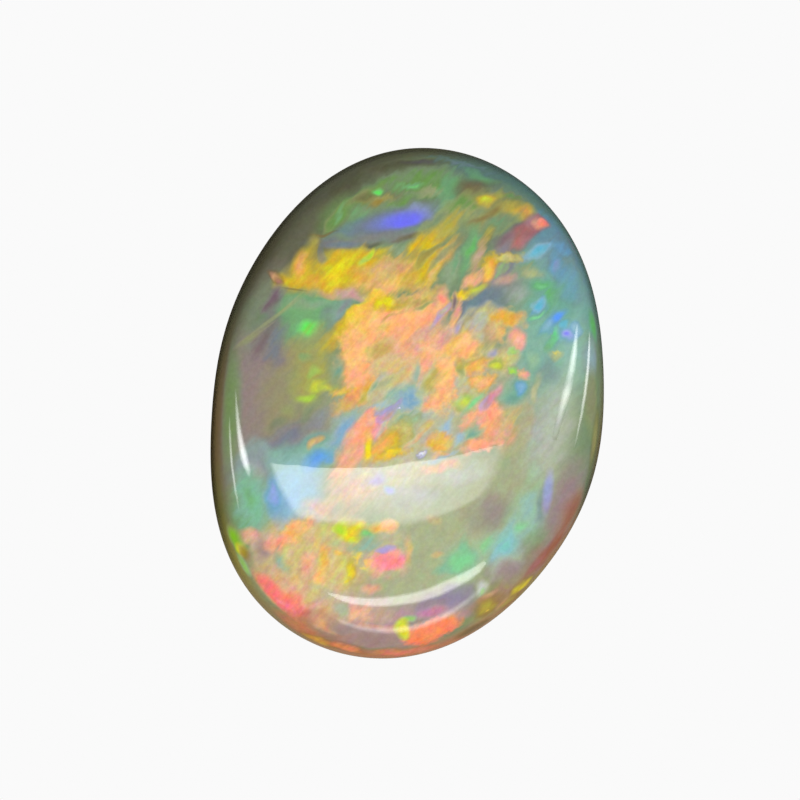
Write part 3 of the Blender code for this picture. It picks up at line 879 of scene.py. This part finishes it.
# Coral, yellow and lime in the lower left.
LOWER_LEFT = (
    cloud("sea green", "clouded sea", -5.6, -3.5, 1.1, 0.5, 100),
    mist("meadow", "sea green", -5.7, -3.35, 0.5, 0.26, 95, 0.7),
    mist("lake", "clouded sky", -4.6, -3.7, 0.9, 0.45, 108, 0.5),
    mist("sky", "lake", -4.85, -3.25, 0.7, 0.24, 97, 0.6),
    mist("periwinkle", "sky", -4.8, -3.25, 0.5, 0.2, 97, 0.7),
    mist("fog", "clouded sky", -3.7, -3.95, 0.7, 0.24, -20, 0.4),
    glow("shell", "clay", -5.6, -4.75, 0.4, 0.26, 0, 0.9),
    mist("mauve", "rose grey", -5.2, -5.2, 0.6, 0.3, 85, 0.9),
    shred("apricot", "dune", -4.0, -4.5, 0.8, 0.3, 36),
    shred("orange", "apricot", -4.2, -4.6, 0.4, 0.18, 36, 0.7),
    mist("melon", "clay", -4.72, -4.95, 0.45, 0.32, 15),
    mist("coral", "melon", -4.76, -4.96, 0.32, 0.22, 10, 0.6),
    cloud("clouded sea", "clouded sage", -4.62, -5.65, 0.5, 0.28, 110, 0.9),
    cloud("buff", "straw", -4.2, -5.4, 0.4, 0.3, 60, 0.8),
    mist("melon", "clay", -3.65, -5.75, 0.5, 0.26, 80, 0.8),
    glow("honey", "sand", -3.05, -5.6, 0.85, 0.32, 88, 0.9),
    glow("butter", "sand", -3.25, -4.8, 0.42, 0.15, 78, 0.8),
    glow("apricot", "sand", -3.1, -6.15, 0.4, 0.26, 80, 0.8),
    mist("straw", "clouded olive", -2.9, -4.55, 0.5, 0.34, 60, 0.9),
    glow("apricot", "sand", -4.05, -6.35, 0.34, 0.16, 120, 0.8),
    mist("straw", "clouded olive", -3.4, -6.75, 0.6, 0.3, 0, 0.9),
    mist("clouded mint", "sand", -2.6, -5.0, 0.4, 0.24, 20, 0.5),
    cloud("straw", "sand", -2.4, -5.9, 0.7, 0.4, 80, 0.8),
    glow("olive gold", "straw", -2.1, -5.85, 0.6, 0.26, 84, 0.8),
    glow("yellow", "gold", -2.14, -5.92, 0.3, 0.18, 75, 0.9),
    flake("butter", "straw", -1.8, -5.4, 0.26, 0.16, 40, 0.9),
    flake("butter", "straw", -1.5, -5.7, 0.2, 0.13, 40, 0.8),
    glow("yellow", "straw", -2.3, -6.25, 0.2, 0.12, 60, 0.7),
    glow("honey", "straw", -2.55, -5.4, 0.18, 0.11, 40, 0.7),
    glow("yellow lime", "straw", -2.15, -4.55, 0.62, 0.42, 5),
    glow("lime", "yellow lime", -2.38, -4.4, 0.34, 0.2, 0),
    glow("sunny", "yellow lime", -2.0, -4.58, 0.3, 0.26, 20),
    glow("yellow", "amber", -1.82, -4.4, 0.24, 0.2, 30, 0.9),
    glow("mint", "meadow", -1.48, -4.66, 0.34, 0.24, -15, 0.8),
    mist("straw", "apple", -1.5, -4.42, 0.34, 0.16, 0, 0.5),
    mist("spring", "meadow", -1.55, -4.6, 0.2, 0.14, 0, 0.6),
    glow("honey", "butter", -1.08, -4.4, 0.32, 0.22, 10),
    glow("melon", "apricot", -0.75, -4.34, 0.28, 0.26, 0, 0.9),
    cloud("clouded sea", "clouded sage", -1.5, -5.0, 0.7, 0.24, 10, 0.8),
    glow("clay", "buff", -4.35, -6.75, 1.5, 0.6, -42, 0.7),
    plain("flamingo", "coral", -4.65, -6.92, 1.3, 0.36, -46),
    mist("flamingo", "coral", -4.12, -7.32, 0.8, 0.4, -42),
    mist("flamingo", "flamingo", -4.9, -6.6, 0.6, 0.24, -48, 0.8),
    mist("pink", "coral", -4.4, -7.1, 0.6, 0.14, -44, 0.5),
    mist("pink", "melon", -0.76, -5.62, 0.74, 0.5, 14, 0.9),
    bold("pink", "pink", -0.72, -5.55, 0.58, 0.38, 14, 0.9),
    bold("coral", "pink", -0.4, -5.62, 0.18, 0.24, 80, 0.4),
    mist("clouded olive", "clouded olive", -0.6, -6.06, 0.26, 0.12, 0, 0.8),
    glow("lilac", "lilac", -0.8, -5.14, 0.3, 0.1, 10, 0.9),
    mist("clay", "rose grey", -1.3, -6.6, 0.34, 0.2, 0, 0.9),
    mist("dune", "clouded olive", 0.0, -5.1, 0.6, 0.24, 88, 0.6),
    mist("buff", "clouded olive", 0.9, -4.1, 0.3, 0.24, 0, 0.6),
    plain("grass", "moss", -6.22, -4.7, 0.5, 0.4, -62),
    plain("sunny", "grass", -6.0, -5.15, 0.36, 0.34, -60, 0.8),
    plain("bronze", "umber", -5.85, -5.3, 0.36, 0.24, -60, 0.7),
    plain("apple", "clouded mint", -5.85, -5.7, 0.5, 0.24, -62, 0.7),
)

# The underside of the face: orange, violet and green along the lower rim.
LOWER_RIM = (
    mist("umber", "rust", -3.1, -7.95, 1.0, 0.5, -28, 0.9),
    plain("rim rust", "rim tan", -3.9, -7.9, 1.4, 0.7, -32, 0.8),
    mist("salmon", "clay", -3.0, -7.85, 0.5, 0.24, -28, 0.6),
    cloud("shell", "clay", -1.85, -7.42, 0.55, 0.3, -10, 0.9),
    mist("clouded mint", "clouded sage", -2.42, -7.4, 0.26, 0.28, 90, 0.9),
    mist("mauve", "clouded slate", -2.3, -8.0, 0.5, 0.2, -14, 0.7),
    mist("clay", "clouded rose", -1.0, -8.0, 1.2, 0.16, -4, 0.7),
    mist("mauve", "clouded rose", -1.2, -8.4, 1.3, 0.4, 0, 0.6),
    mist("heather", "clouded slate", 1.4, -6.95, 1.2, 0.38, 20, 0.9),
    mist("mauve", "heather", 0.9, -7.1, 0.7, 0.2, 14, 0.6),
    mist("magenta", "clouded rose", 0.85, -7.42, 0.6, 0.22, 14, 0.9),
    mist("coral", "rim rust", -0.2, -8.8, 1.5, 0.4, 2, 0.7),
    mist("red orange", "rust", 1.45, -8.6, 0.6, 0.34, 16, 0.5),
    mist("clay", "clouded rose", 1.3, -7.7, 0.8, 0.24, 22, 0.8),
    plain("umber", "rim olive", 2.6, -7.9, 1.0, 0.5, 24, 0.55),
    plain("brown olive", "rim olive", 2.3, -8.0, 0.8, 0.4, 24, 0.7),
    bold("red orange", "red orange", 1.05, -8.02, 0.85, 0.38, 18),
    bold("red orange", "red orange", 0.5, -8.3, 0.7, 0.5, 8),
    mist("coral", "red orange", 1.4, -7.9, 0.35, 0.26, 20, 0.7),
    glow("apple", "clouded mint", 0.08, -7.68, 0.28, 0.16, 20, 0.9),
    glow("yellow lime", "yellow lime", -0.2, -7.98, 0.3, 0.24, 60),
    spark("sunny", "yellow", -0.2, -8.05, 0.16, 0.18, 60, 0.9),
    # A pale spot, brightened to milk white as a painted glint.
    mist("milk", "milky olive", 2.6, -6.52, 0.42, 0.32, 60, 0.9),
    glow("apple", "clouded mint", 2.64, -6.68, 0.15, 0.1, 60, 0.5),
    mist("clay", "umber", 2.8, -6.85, 0.45, 0.14, 30, 0.7),
    glow("olive gold", "bronze", 2.8, -7.25, 0.6, 0.4, 25),
    glow("butter", "olive gold", 2.76, -7.38, 0.13, 0.07, 20, 0.8),
    mist("tan", "umber", 3.4, -7.05, 0.4, 0.24, 35, 0.6),
    mist("soft olive", "umber", 3.45, -6.5, 0.2, 0.22, 35, 0.6),
    mist("sea green", "clouded olive", 1.3, -5.88, 0.7, 0.28, 18, 0.9),
    mist("sea green", "clouded olive", 1.95, -5.1, 0.45, 0.24, 80, 0.8),
    glow("mint", "sea green", 1.9, -5.55, 0.5, 0.42, 40),
    mist("dune", "clouded olive", 1.05, -5.4, 0.42, 0.14, 12, 0.6),
    cloud("mint", "clouded mint", 2.8, -4.95, 0.5, 0.24, 65, 0.7),
    mist("aqua", "clouded aqua", 3.45, -4.95, 0.8, 0.5, 55),
    mist("aqua", "ice", 3.4, -5.1, 0.5, 0.2, 52, 0.7),
    mist("mint", "clouded mint", 4.05, -4.4, 0.34, 0.26, 40, 0.8),
    mist("clouded aqua", "clouded mint", 4.25, -3.6, 0.8, 0.34, 72, 0.9),
    mist("mauve", "taupe", 2.95, -3.65, 0.7, 0.36, 62, 0.5),
    mist("mauve", "taupe", 3.6, -6.0, 0.6, 0.36, 30, 0.8),
    mist("steel", "clouded slate", 4.75, -3.5, 0.9, 0.2, 80, 0.6),
    plain("periwinkle", "lilac", 4.97, -3.1, 0.85, 0.2, 83, 0.55),
    mist("clouded mint", "milky sage", 4.5, -2.5, 0.5, 0.3, 60, 0.6),
    mist("rust", "mauve", 5.15, -5.05, 1.6, 0.6, 55),
    mist("rim clay", "rust", 5.35, -5.1, 1.3, 0.4, 56, 0.7),
    plain("rust", "umber", 5.85, -3.8, 1.0, 0.6, 66, 0.8),
    plain("rosewood", "rust", 4.6, -5.65, 0.8, 0.26, 50, 0.7),
    mist("sunny", "bronze", 4.02, -6.5, 0.62, 0.42, 42, 0.8),
    mist("rust", "umber", 3.75, -6.95, 0.9, 0.36, 38, 0.6),
    plain("olive gold", "bronze", 3.6, -7.0, 0.5, 0.3, 34, 0.6),
    mist("fog", "buff", -2.75, -7.0, 0.9, 0.55, -20, 0.3),
    mist("amber", "bronze", -3.15, -8.38, 0.7, 0.4, -24, 0.8),
    mist("red orange", "rust", -2.3, -8.62, 0.8, 0.4, -16, 0.8),
)

REGIONS = {
    "body": BODY,
    "crown edge": CROWN_EDGE,
    "gold wedge": GOLD_WEDGE,
    "upper right": UPPER_RIGHT,
    "left side": LEFT_SIDE,
    "salmon drift": SALMON_DRIFT,
    "middle": MIDDLE,
    "right side": RIGHT_SIDE,
    "lower left": LOWER_LEFT,
    "lower rim": LOWER_RIM,
}


def painted(graph, fields):
    """The play of colour: every region's patches, one over another, with the rim's band and its painted
    shade over the body.
    """
    patch_tree = patch_group()
    colour = (*COLOURS["grey green"], 1.0)
    for name, patches in REGIONS.items():
        node = graph.tree.nodes.new("ShaderNodeGroup")
        node.node_tree = region_group(name, patches, patch_tree, fields)
        for label, value in (fields.places | fields.feathers).items():
            graph.feed(node.inputs[label], value)
        graph.feed(node.inputs["Below"], colour)
        colour = node.outputs["Colour"]
        if name == "body":
            colour = rim_colour_and_shade(graph, fields, colour)
    return colour


# How strongly the hue drifts in red, green and blue, and how deep the fibres' and the pebbles' shades are.
HUE_DRIFT = (0.4, 0.85, 1.2)
FIBRE_DEPTH = 0.05
PEBBLE_DEPTH = 0.045


def finished(graph, fields, colour):
    """Small unevenness: pebbles all over, and fibres and a drift of hue, strongest on warm colours."""
    fibres = fields.grained(1.2, 4.5, detail=3.0, roughness=0.6)
    pebbles = graph.noise(fields.flat, scale=6.0, detail=3.0, roughness=0.7)
    hues = fields.grained(1.9, 3.0, detail=3.0, roughness=0.65)
    warmth = graph.eased(graph.add("SeparateColor", colour).outputs["Red"], 0.25, 0.75, 0.25, 1.0)
    drift = graph.vector("SUBTRACT", hues.outputs["Color"], (0.5, 0.5, 0.5))
    drift = graph.scaled(graph.vector("MULTIPLY", drift, HUE_DRIFT), warmth)
    colour = graph.vector("MULTIPLY", colour, graph.vector("ADD", drift, (1.0, 1.0, 1.0)))
    fibre = graph.eased(fibres.outputs["Fac"], 0.3, 0.7, -FIBRE_DEPTH, FIBRE_DEPTH)
    pebble = graph.eased(pebbles.outputs["Fac"], 0.3, 0.7, 1 - PEBBLE_DEPTH, 1 + PEBBLE_DEPTH)
    return graph.scaled(colour, graph.math("MULTIPLY_ADD", fibre, warmth, pebble))


# The rim's colours round the outline, by direction in degrees from the picture's right: partly the
# stone's own colours, partly painted shade, darkest at the left and top left.
RIM_COLOURS_AND_SHADE = (
    (-180, "rim shade bark"), (-165, "rim shade bark"), (-150, "rim olive"), (-137, "rim gold"), (-120, "rim tan"),
    (-92, "rim rust"), (-74, "rim rust"), (-58, "rim gold"), (-42, "rim clay"), (-25, "rim slate"),
    (-12, "rim umber"), (6, "rim sage"), (26, "rim teal"), (62, "rim teal"), (84, "dark olive"),
    (112, "rim slate"), (134, "rim shade dusk"), (150, "rim shade dusk"), (166, "rim shade brown"), (180, "rim shade bark"),
)

# The rim's band, partly painted shade, and the outline's dark line, which is painted shade: the heights in
# millimetres where each begins and is whole, how strong it is, and how much higher the band and how much
# darker the line is on the shaded side.
BAND_TOP = 3.5
BAND_WHOLE = 2.45
BAND_STRENGTH = 0.85
BAND_SHADED_SIDE = 0.55
LINE_TOP = 3.1
LINE_WHOLE = 2.5
LINE_STRENGTH = 0.08
LINE_SHADED_SIDE = 0.48


def rim_colour_and_shade(graph, fields, colour):
    """The rim's band of colour with painted shade, wider and darker at the left and the top left."""
    turn = graph.math("MULTIPLY_ADD", graph.math("ARCTAN2", fields.y, fields.x), 0.5 / math.pi, 0.5)
    ramp = graph.add("ValToRGB", turn)
    stops = ramp.color_ramp.elements
    stops.remove(stops[1])
    for i, (direction, name) in enumerate(RIM_COLOURS_AND_SHADE):
        stop = stops.new((direction + 180) / 360) if i else stops[0]
        stop.color = (*COLOURS[name], 1)
    # Painted shade: the band reaches higher on the shaded side.
    rise = graph.math("MULTIPLY", fields.shadedness, BAND_SHADED_SIDE)
    reach = graph.math("MULTIPLY_ADD", fields.height, -1.0, rise)
    band = graph.eased(reach, -BAND_TOP, -BAND_WHOLE, 0.0, BAND_STRENGTH)
    return graph.mixed(band, colour, ramp.outputs["Color"])


def painted_edge_shade(graph, fields, colour):
    """Painted shade: the dark line of the outline itself, darkest at the left."""
    line = graph.eased(fields.height, LINE_TOP, LINE_WHOLE)
    depth = graph.math("MULTIPLY_ADD", fields.shadedness, LINE_SHADED_SIDE, LINE_STRENGTH)
    dark = graph.math("MULTIPLY_ADD", graph.math("MULTIPLY", line, depth), -1.0, 1.0)
    return graph.scaled(colour, dark)


# The potch: the heights in millimetres where it begins and is whole, how far its clouds shift them, and its
# thin brown veins.
POTCH_TOP = 1.9
POTCH_WHOLE = 1.2
POTCH_SHIFT = 0.8
VEIN_WIDTH = 0.02
VEIN_STRENGTH = 0.35


def backed(graph, fields, colour):
    """Grey potch, the common opal without play of colour, round the lower wall and over the ground back."""
    place = graph.scaled(graph.add("TexCoord").outputs["Object"], 1 / MM)
    clouds = graph.noise(place, scale=0.28, detail=3.0, dimensions="3D")
    veins = graph.noise(place, scale=0.9, detail=4.0, roughness=0.6, dimensions="3D")
    cloudy = graph.eased(clouds.outputs["Fac"], 0.35, 0.65)
    potch = graph.mixed(cloudy, COLOURS["potch"], COLOURS["pale potch"])
    tint = graph.vector("MULTIPLY_ADD", clouds.outputs["Color"], (0.5, 0.5, 0.5), (0.75, 0.75, 0.75))
    potch = graph.vector("MULTIPLY", potch, tint)
    crack = graph.math("ABSOLUTE", graph.math("SUBTRACT", veins.outputs["Fac"], 0.5))
    vein = graph.eased(crack, VEIN_WIDTH, 0.0, 0.0, VEIN_STRENGTH)
    potch = graph.mixed(vein, potch, COLOURS["brown olive"])
    level = graph.math("MULTIPLY_ADD", clouds.outputs["Fac"], POTCH_SHIFT, fields.height)
    return graph.mixed(graph.eased(level, POTCH_TOP, POTCH_WHOLE), colour, potch)


# The finish, polished down to the ground back, which is satin. The change's heights are in millimetres.
POLISHED_ABOVE = 0.3
GROUND_BELOW = 0.02
POLISHED_ROUGHNESS = 0.03
GROUND_ROUGHNESS = 0.35
OPAL_IOR = 1.45


def opal_material():
    material = bpy.data.materials.new("polished opal")
    material.use_nodes = True
    graph = Graph(material.node_tree)
    sockets = material.node_tree.nodes["Principled BSDF"].inputs
    fields = Fields(graph)
    colour = finished(graph, fields, painted(graph, fields))
    colour = backed(graph, fields, painted_edge_shade(graph, fields, colour))
    graph.feed(sockets["Base Color"], graph.scaled(colour, 1 / LIT))
    finish = (POLISHED_ABOVE, GROUND_BELOW, POLISHED_ROUGHNESS, GROUND_ROUGHNESS)
    graph.feed(sockets["Roughness"], graph.eased(fields.height, *finish))
    sockets["IOR"].default_value = OPAL_IOR
    return material


def make_camera():
    """A camera straight above the stone, turned and moved so that the stone lies as in the photograph."""
    data = bpy.data.cameras.new("camera")
    data.lens = LENS
    data.sensor_width = SENSOR
    data.clip_start = CLIP_START
    data.clip_end = CLIP_END
    camera = bpy.data.objects.new("camera", data)
    off_right = (PHOTO_SIDE / 2 - STONE_PIXEL[0]) / PIXELS_PER_MM * MM
    off_up = (STONE_PIXEL[1] - PHOTO_SIDE / 2) / PIXELS_PER_MM * MM
    rise = Vector((0, 0, GIRDLE_HEIGHT + CAMERA_RISE))
    camera.location = VIEW_RIGHT * off_right + VIEW_UP * off_up + rise
    camera.rotation_euler = (0, 0, STONE_LEAN)
    bpy.context.scene.collection.objects.link(camera)
    bpy.context.scene.camera = camera
    return camera


FLOOR_RADIUS = 600 * MM
FLOOR_SIDES = 64
FLOOR_GAP = 0.02 * MM


def glowing(name, tone):
    """A material that shines in this tone."""
    material = bpy.data.materials.new(name)
    material.use_nodes = True
    graph = Graph(material.node_tree)
    graph.tree.nodes.remove(graph.tree.nodes["Principled BSDF"])
    emission = graph.add("Emission", (*tone, 1))
    graph.feed(graph.tree.nodes["Material Output"].inputs["Surface"], emission.outputs["Emission"])
    return material


def make_floor():
    """A pale floor that shines evenly, as the photograph's ground shows no shadow."""
    bm = bmesh.new()
    bmesh.ops.create_circle(bm, cap_ends=True, segments=FLOOR_SIDES, radius=FLOOR_RADIUS)
    mesh = bpy.data.meshes.new("floor")
    bm.to_mesh(mesh)
    bm.free()
    mesh.materials.append(glowing("floor", (GROUND, GROUND, GROUND)))
    floor = bpy.data.objects.new("floor", mesh)
    floor.location.z = -FLOOR_GAP
    bpy.context.scene.collection.objects.link(floor)
    floor.visible_glossy = False


def make_world():
    """An even pale light from all round, which the polish doesn't mirror."""
    world = bpy.data.worlds.new("studio")
    world.use_nodes = True
    world.node_tree.nodes["Background"].inputs["Color"].default_value = (GROUND, GROUND, GROUND, 1)
    bpy.context.scene.world = world
    world.cycles_visibility.glossy = False


# The soft light overhead: its place, its width and its power in watts.
OVERHEAD_PLACE = Vector((40, -30, 260)) * MM
OVERHEAD_WIDTH = 200 * MM
OVERHEAD_POWER = 0.165


def make_overhead():
    """A round soft light that points at the stone, and that the polish doesn't mirror."""
    data = bpy.data.lights.new("overhead", "AREA")
    data.shape = "DISK"
    data.size = OVERHEAD_WIDTH
    data.energy = OVERHEAD_POWER
    light = bpy.data.objects.new("overhead", data)
    light.location = OVERHEAD_PLACE
    light.rotation_mode = "QUATERNION"
    light.rotation_quaternion = (-OVERHEAD_PLACE).to_track_quat("-Z", "Y")
    light.visible_glossy = False
    bpy.context.scene.collection.objects.link(light)


LAMP_DISTANCE = 150 * MM
VEIL_DISTANCE = 200 * MM  # behind the lamps that it surrounds

# The studio's lamps, as the dome mirrors them in the photograph: the share of the width over which an edge
# fades, how far off the lamp is, then a row of pixels with the lamp's width there in pixels and its glow.
LAMPS = {
    "curved lamp": (0.25, LAMP_DISTANCE, (
        (328, 593, 2, 4), (336, 596, 5, 8), (345, 599, 8, 9.5), (370, 602, 10, 10), (400, 600, 12, 10),
        (425, 595, 13, 10), (445, 587, 14, 10), (465, 577, 12, 10), (478, 569, 9, 9), (485, 562, 5, 6),
    )),
    "thin arc": (0.45, LAMP_DISTANCE, (
        (330, 615, 3, 0), (340, 621, 5, 2), (366, 629, 7, 4), (395, 630, 8, 5), (414, 627, 8, 5),
        (442, 617, 8, 5), (463, 604, 7, 4), (479, 590, 6, 2), (488, 580, 4, 0),
    )),
    "left lamp": (0.40, LAMP_DISTANCE, (
        (235, 388, 2, 0), (236.5, 404, 3, 5), (238, 422, 5, 9), (240.5, 440, 7, 14), (243.5, 454, 9, 18),
        (246, 464, 8.5, 16), (248.5, 471, 6, 8), (250, 477, 4, 0),
    )),
    "left streak": (0.45, LAMP_DISTANCE, (
        (229, 415, 2, 0), (230, 435, 3, 5), (231.5, 460, 3, 8), (234, 480, 3, 7), (237, 498, 3, 4),
        (240, 512, 2, 0),
    )),
    "right lamp": (0.42, LAMP_DISTANCE, (
        (577, 322, 2, 0), (576, 336, 5, 9), (574, 354, 8, 14), (571.5, 370, 9, 12), (569, 382, 10, 8),
        (566, 394, 11, 14), (562, 408, 9, 9), (558, 424, 7, 3), (554, 440, 5, 0),
    )),
    "right streak": (0.45, LAMP_DISTANCE, (
        (589, 330, 2, 0), (589, 350, 3, 7), (586.5, 380, 4, 9), (583, 404, 4, 8), (579, 426, 3, 6),
        (574, 450, 2, 0),
    )),
    "right veil": (0.50, VEIL_DISTANCE, (
        (577, 290, 12, 0), (575, 320, 22, 0.8), (572, 350, 32, 1.4), (567, 385, 40, 1.8),
        (561, 420, 46, 2.5), (553, 455, 44, 2.2), (540, 490, 34, 0),
    )),
}

# The pale softbox in the dome's lower half: its corners' pixels with the glow and the fading edge's width
# there, round the outline, and the middle's glow.
SOFTBOX = (
    (271, 463, 7, 4), (297, 465, 7.5, 2), (325, 468, 8.4, 1.5), (353, 468, 8.8, 1.5),
    (381, 467.5, 8.6, 1.5), (409, 462, 7.8, 1.5), (437, 459, 7.2, 1.5), (465, 453.5, 6.8, 2),
    (493, 446.5, 6, 4), (503, 444.5, 4.5, 12), (503, 449, 4.4, 12), (499, 462, 4.4, 11),
    (493, 477, 4.4, 10), (487, 488, 4.2, 8), (478, 497, 4.6, 5), (458, 508, 5.6, 5), (428, 518, 6.2, 6),
    (406, 523.5, 6.2, 8), (375, 524.5, 6.5, 9), (353, 523, 6.5, 10), (325, 521, 6.6, 9), (306, 518, 6.2, 8),
    (295.5, 513, 6.2, 7), (285, 495, 6.4, 7), (277, 479, 6.6, 6),
)
SOFTBOX_MIDDLE = 8.6

# The pale table round the stone, as its wall mirrors it where the photograph's rim isn't dark: directions
# in degrees from the picture's right, and the glow there. It starts a little under the wall.
TABLE = (
    (-165, 0), (-150, 0.12), (-135, 0.35), (-110, 0.4), (-85, 0.4), (-60, 0.36), (-42, 0.25), (-28, 0.1),
    (0, 0.05), (20, 0.06), (40, 0.08), (80, 0.08), (110, 0.06), (150, 0.05), (180, 0),
)
TABLE_TONE = (1.0, 0.82, 0.56)
TABLE_START = 0.93
TABLE_REACH = 4.5 * MM


class Mirror:
    """Finds where the camera looks after the polished face has mirrored it."""

    def __init__(self, stone, camera):
        self.mesh = stone.data
        self.faces = [tuple(face.vertices) for face in self.mesh.polygons]
        self.tree = BVHTree.FromPolygons([v.co for v in self.mesh.vertices], self.faces)
        self.eye = camera.location

    def seen(self, px, py, distance):
        """The point at this distance that the face shows at a pixel of the photograph."""
        side = SENSOR / LENS / PHOTO_SIDE
        right = VIEW_RIGHT * (px - PHOTO_SIDE / 2) * side
        up = VIEW_UP * (PHOTO_SIDE / 2 - py) * side
        ray = (right + up - Vector((0, 0, 1))).normalized()
        hit, _, index, _ = self.tree.ray_cast(self.eye, ray)
        corners = [self.mesh.vertices[i] for i in self.faces[index]]
        weights = poly_3d_calc([v.co for v in corners], hit)
        normal = sum((v.normal * weight for v, weight in zip(corners, weights)), Vector())
        return hit + ray.reflect(normal.normalized()) * distance


def make_lamp(name, bm, values, tone=(1.0, 1.0, 1.0)):
    """A card that only the polished face shows. The values are its glow at each of its vertices."""
    mesh = bpy.data.meshes.new(name)
    bm.to_mesh(mesh)
    bm.free()
    attribute = mesh.attributes.new("glow", "FLOAT", "POINT")
    for entry, value in zip(attribute.data, values):
        entry.value = value
    material = glowing(name, tone)
    graph = Graph(material.node_tree)
    source = graph.add("Attribute", attribute_name="glow")
    graph.feed(graph.tree.nodes["Emission"].inputs["Strength"], source.outputs["Fac"])
    mesh.materials.append(material)
    lamp = bpy.data.objects.new(name, mesh)
    lamp.visible_camera = False
    lamp.visible_diffuse = False
    lamp.visible_shadow = False
    lamp.visible_transmission = False
    bpy.context.scene.collection.objects.link(lamp)


def make_strip(mirror, name, soft, distance, row):
    """A long lamp along a row of pixels. Its glow falls to nothing over the soft share of its width."""
    bm = bmesh.new()
    values = []
    rungs = []
    steps = ((-0.5, 0), (soft - 0.5, 1), (0.5 - soft, 1), (0.5, 0))
    for i, (px, py, width, value) in enumerate(row):
        before, after = row[max(i - 1, 0)], row[min(i + 1, len(row) - 1)]
        along = Vector((after[0] - before[0], after[1] - before[1])).normalized()
        across = Vector((-along.y, along.x)) * width
        spots = [mirror.seen(px + across.x * step, py + across.y * step, distance) for step, _ in steps]
        rungs.append([bm.verts.new(spot) for spot in spots])
        values += [value * share for _, share in steps]
    for near, far in zip(rungs, rungs[1:]):
        for i in range(len(steps) - 1):
            bm.faces.new((near[i], near[i + 1], far[i + 1], far[i]))
    make_lamp(name, bm, values)


def make_softbox(mirror):
    """A flat lamp whose glow changes from its middle to its corners and fades across its edge."""
    bm = bmesh.new()
    middle_x = sum(corner[0] for corner in SOFTBOX) / len(SOFTBOX)
    middle_y = sum(corner[1] for corner in SOFTBOX) / len(SOFTBOX)
    middle = bm.verts.new(mirror.seen(middle_x, middle_y, LAMP_DISTANCE))
    values = [SOFTBOX_MIDDLE]
    rim = []
    for px, py, value, fade in SOFTBOX:
        out = Vector((px - middle_x, py - middle_y)).normalized() * fade / 2
        places = ((px - out.x, py - out.y), (px + out.x, py + out.y))
        rim.append([bm.verts.new(mirror.seen(*place, LAMP_DISTANCE)) for place in places])
        values += [value, 0]
    for (last_inner, last_outer), (inner, outer) in zip(rim[-1:] + rim, rim):
        bm.faces.new((middle, last_inner, inner))
        bm.faces.new((last_inner, last_outer, outer, inner))
    make_lamp("softbox", bm, values)


def make_table():
    """A ring on the floor round the wall, which fades outwards."""
    bm = bmesh.new()
    values = []
    ring = []
    for direction, value in TABLE:
        angle = math.radians(direction) + STONE_LEAN
        out = Vector((math.cos(angle), math.sin(angle), 0))
        wall = outline_radius(angle)
        ring.append([bm.verts.new(out * reach) for reach in (TABLE_START * wall, wall + TABLE_REACH)])
        values += [value, 0]
    for near, far in zip(ring, ring[1:]):
        bm.faces.new((near[0], near[1], far[1], far[0]))
    make_lamp("table", bm, values, TABLE_TONE)


def main():
    bpy.context.scene.view_settings.view_transform = "Standard"
    stone = make_stone(opal_material())
    mirror = Mirror(stone, make_camera())
    make_floor()
    make_world()
    make_overhead()
    make_softbox(mirror)
    for name, (soft, distance, row) in LAMPS.items():
        make_strip(mirror, name, soft, distance, row)
    make_table()


main()
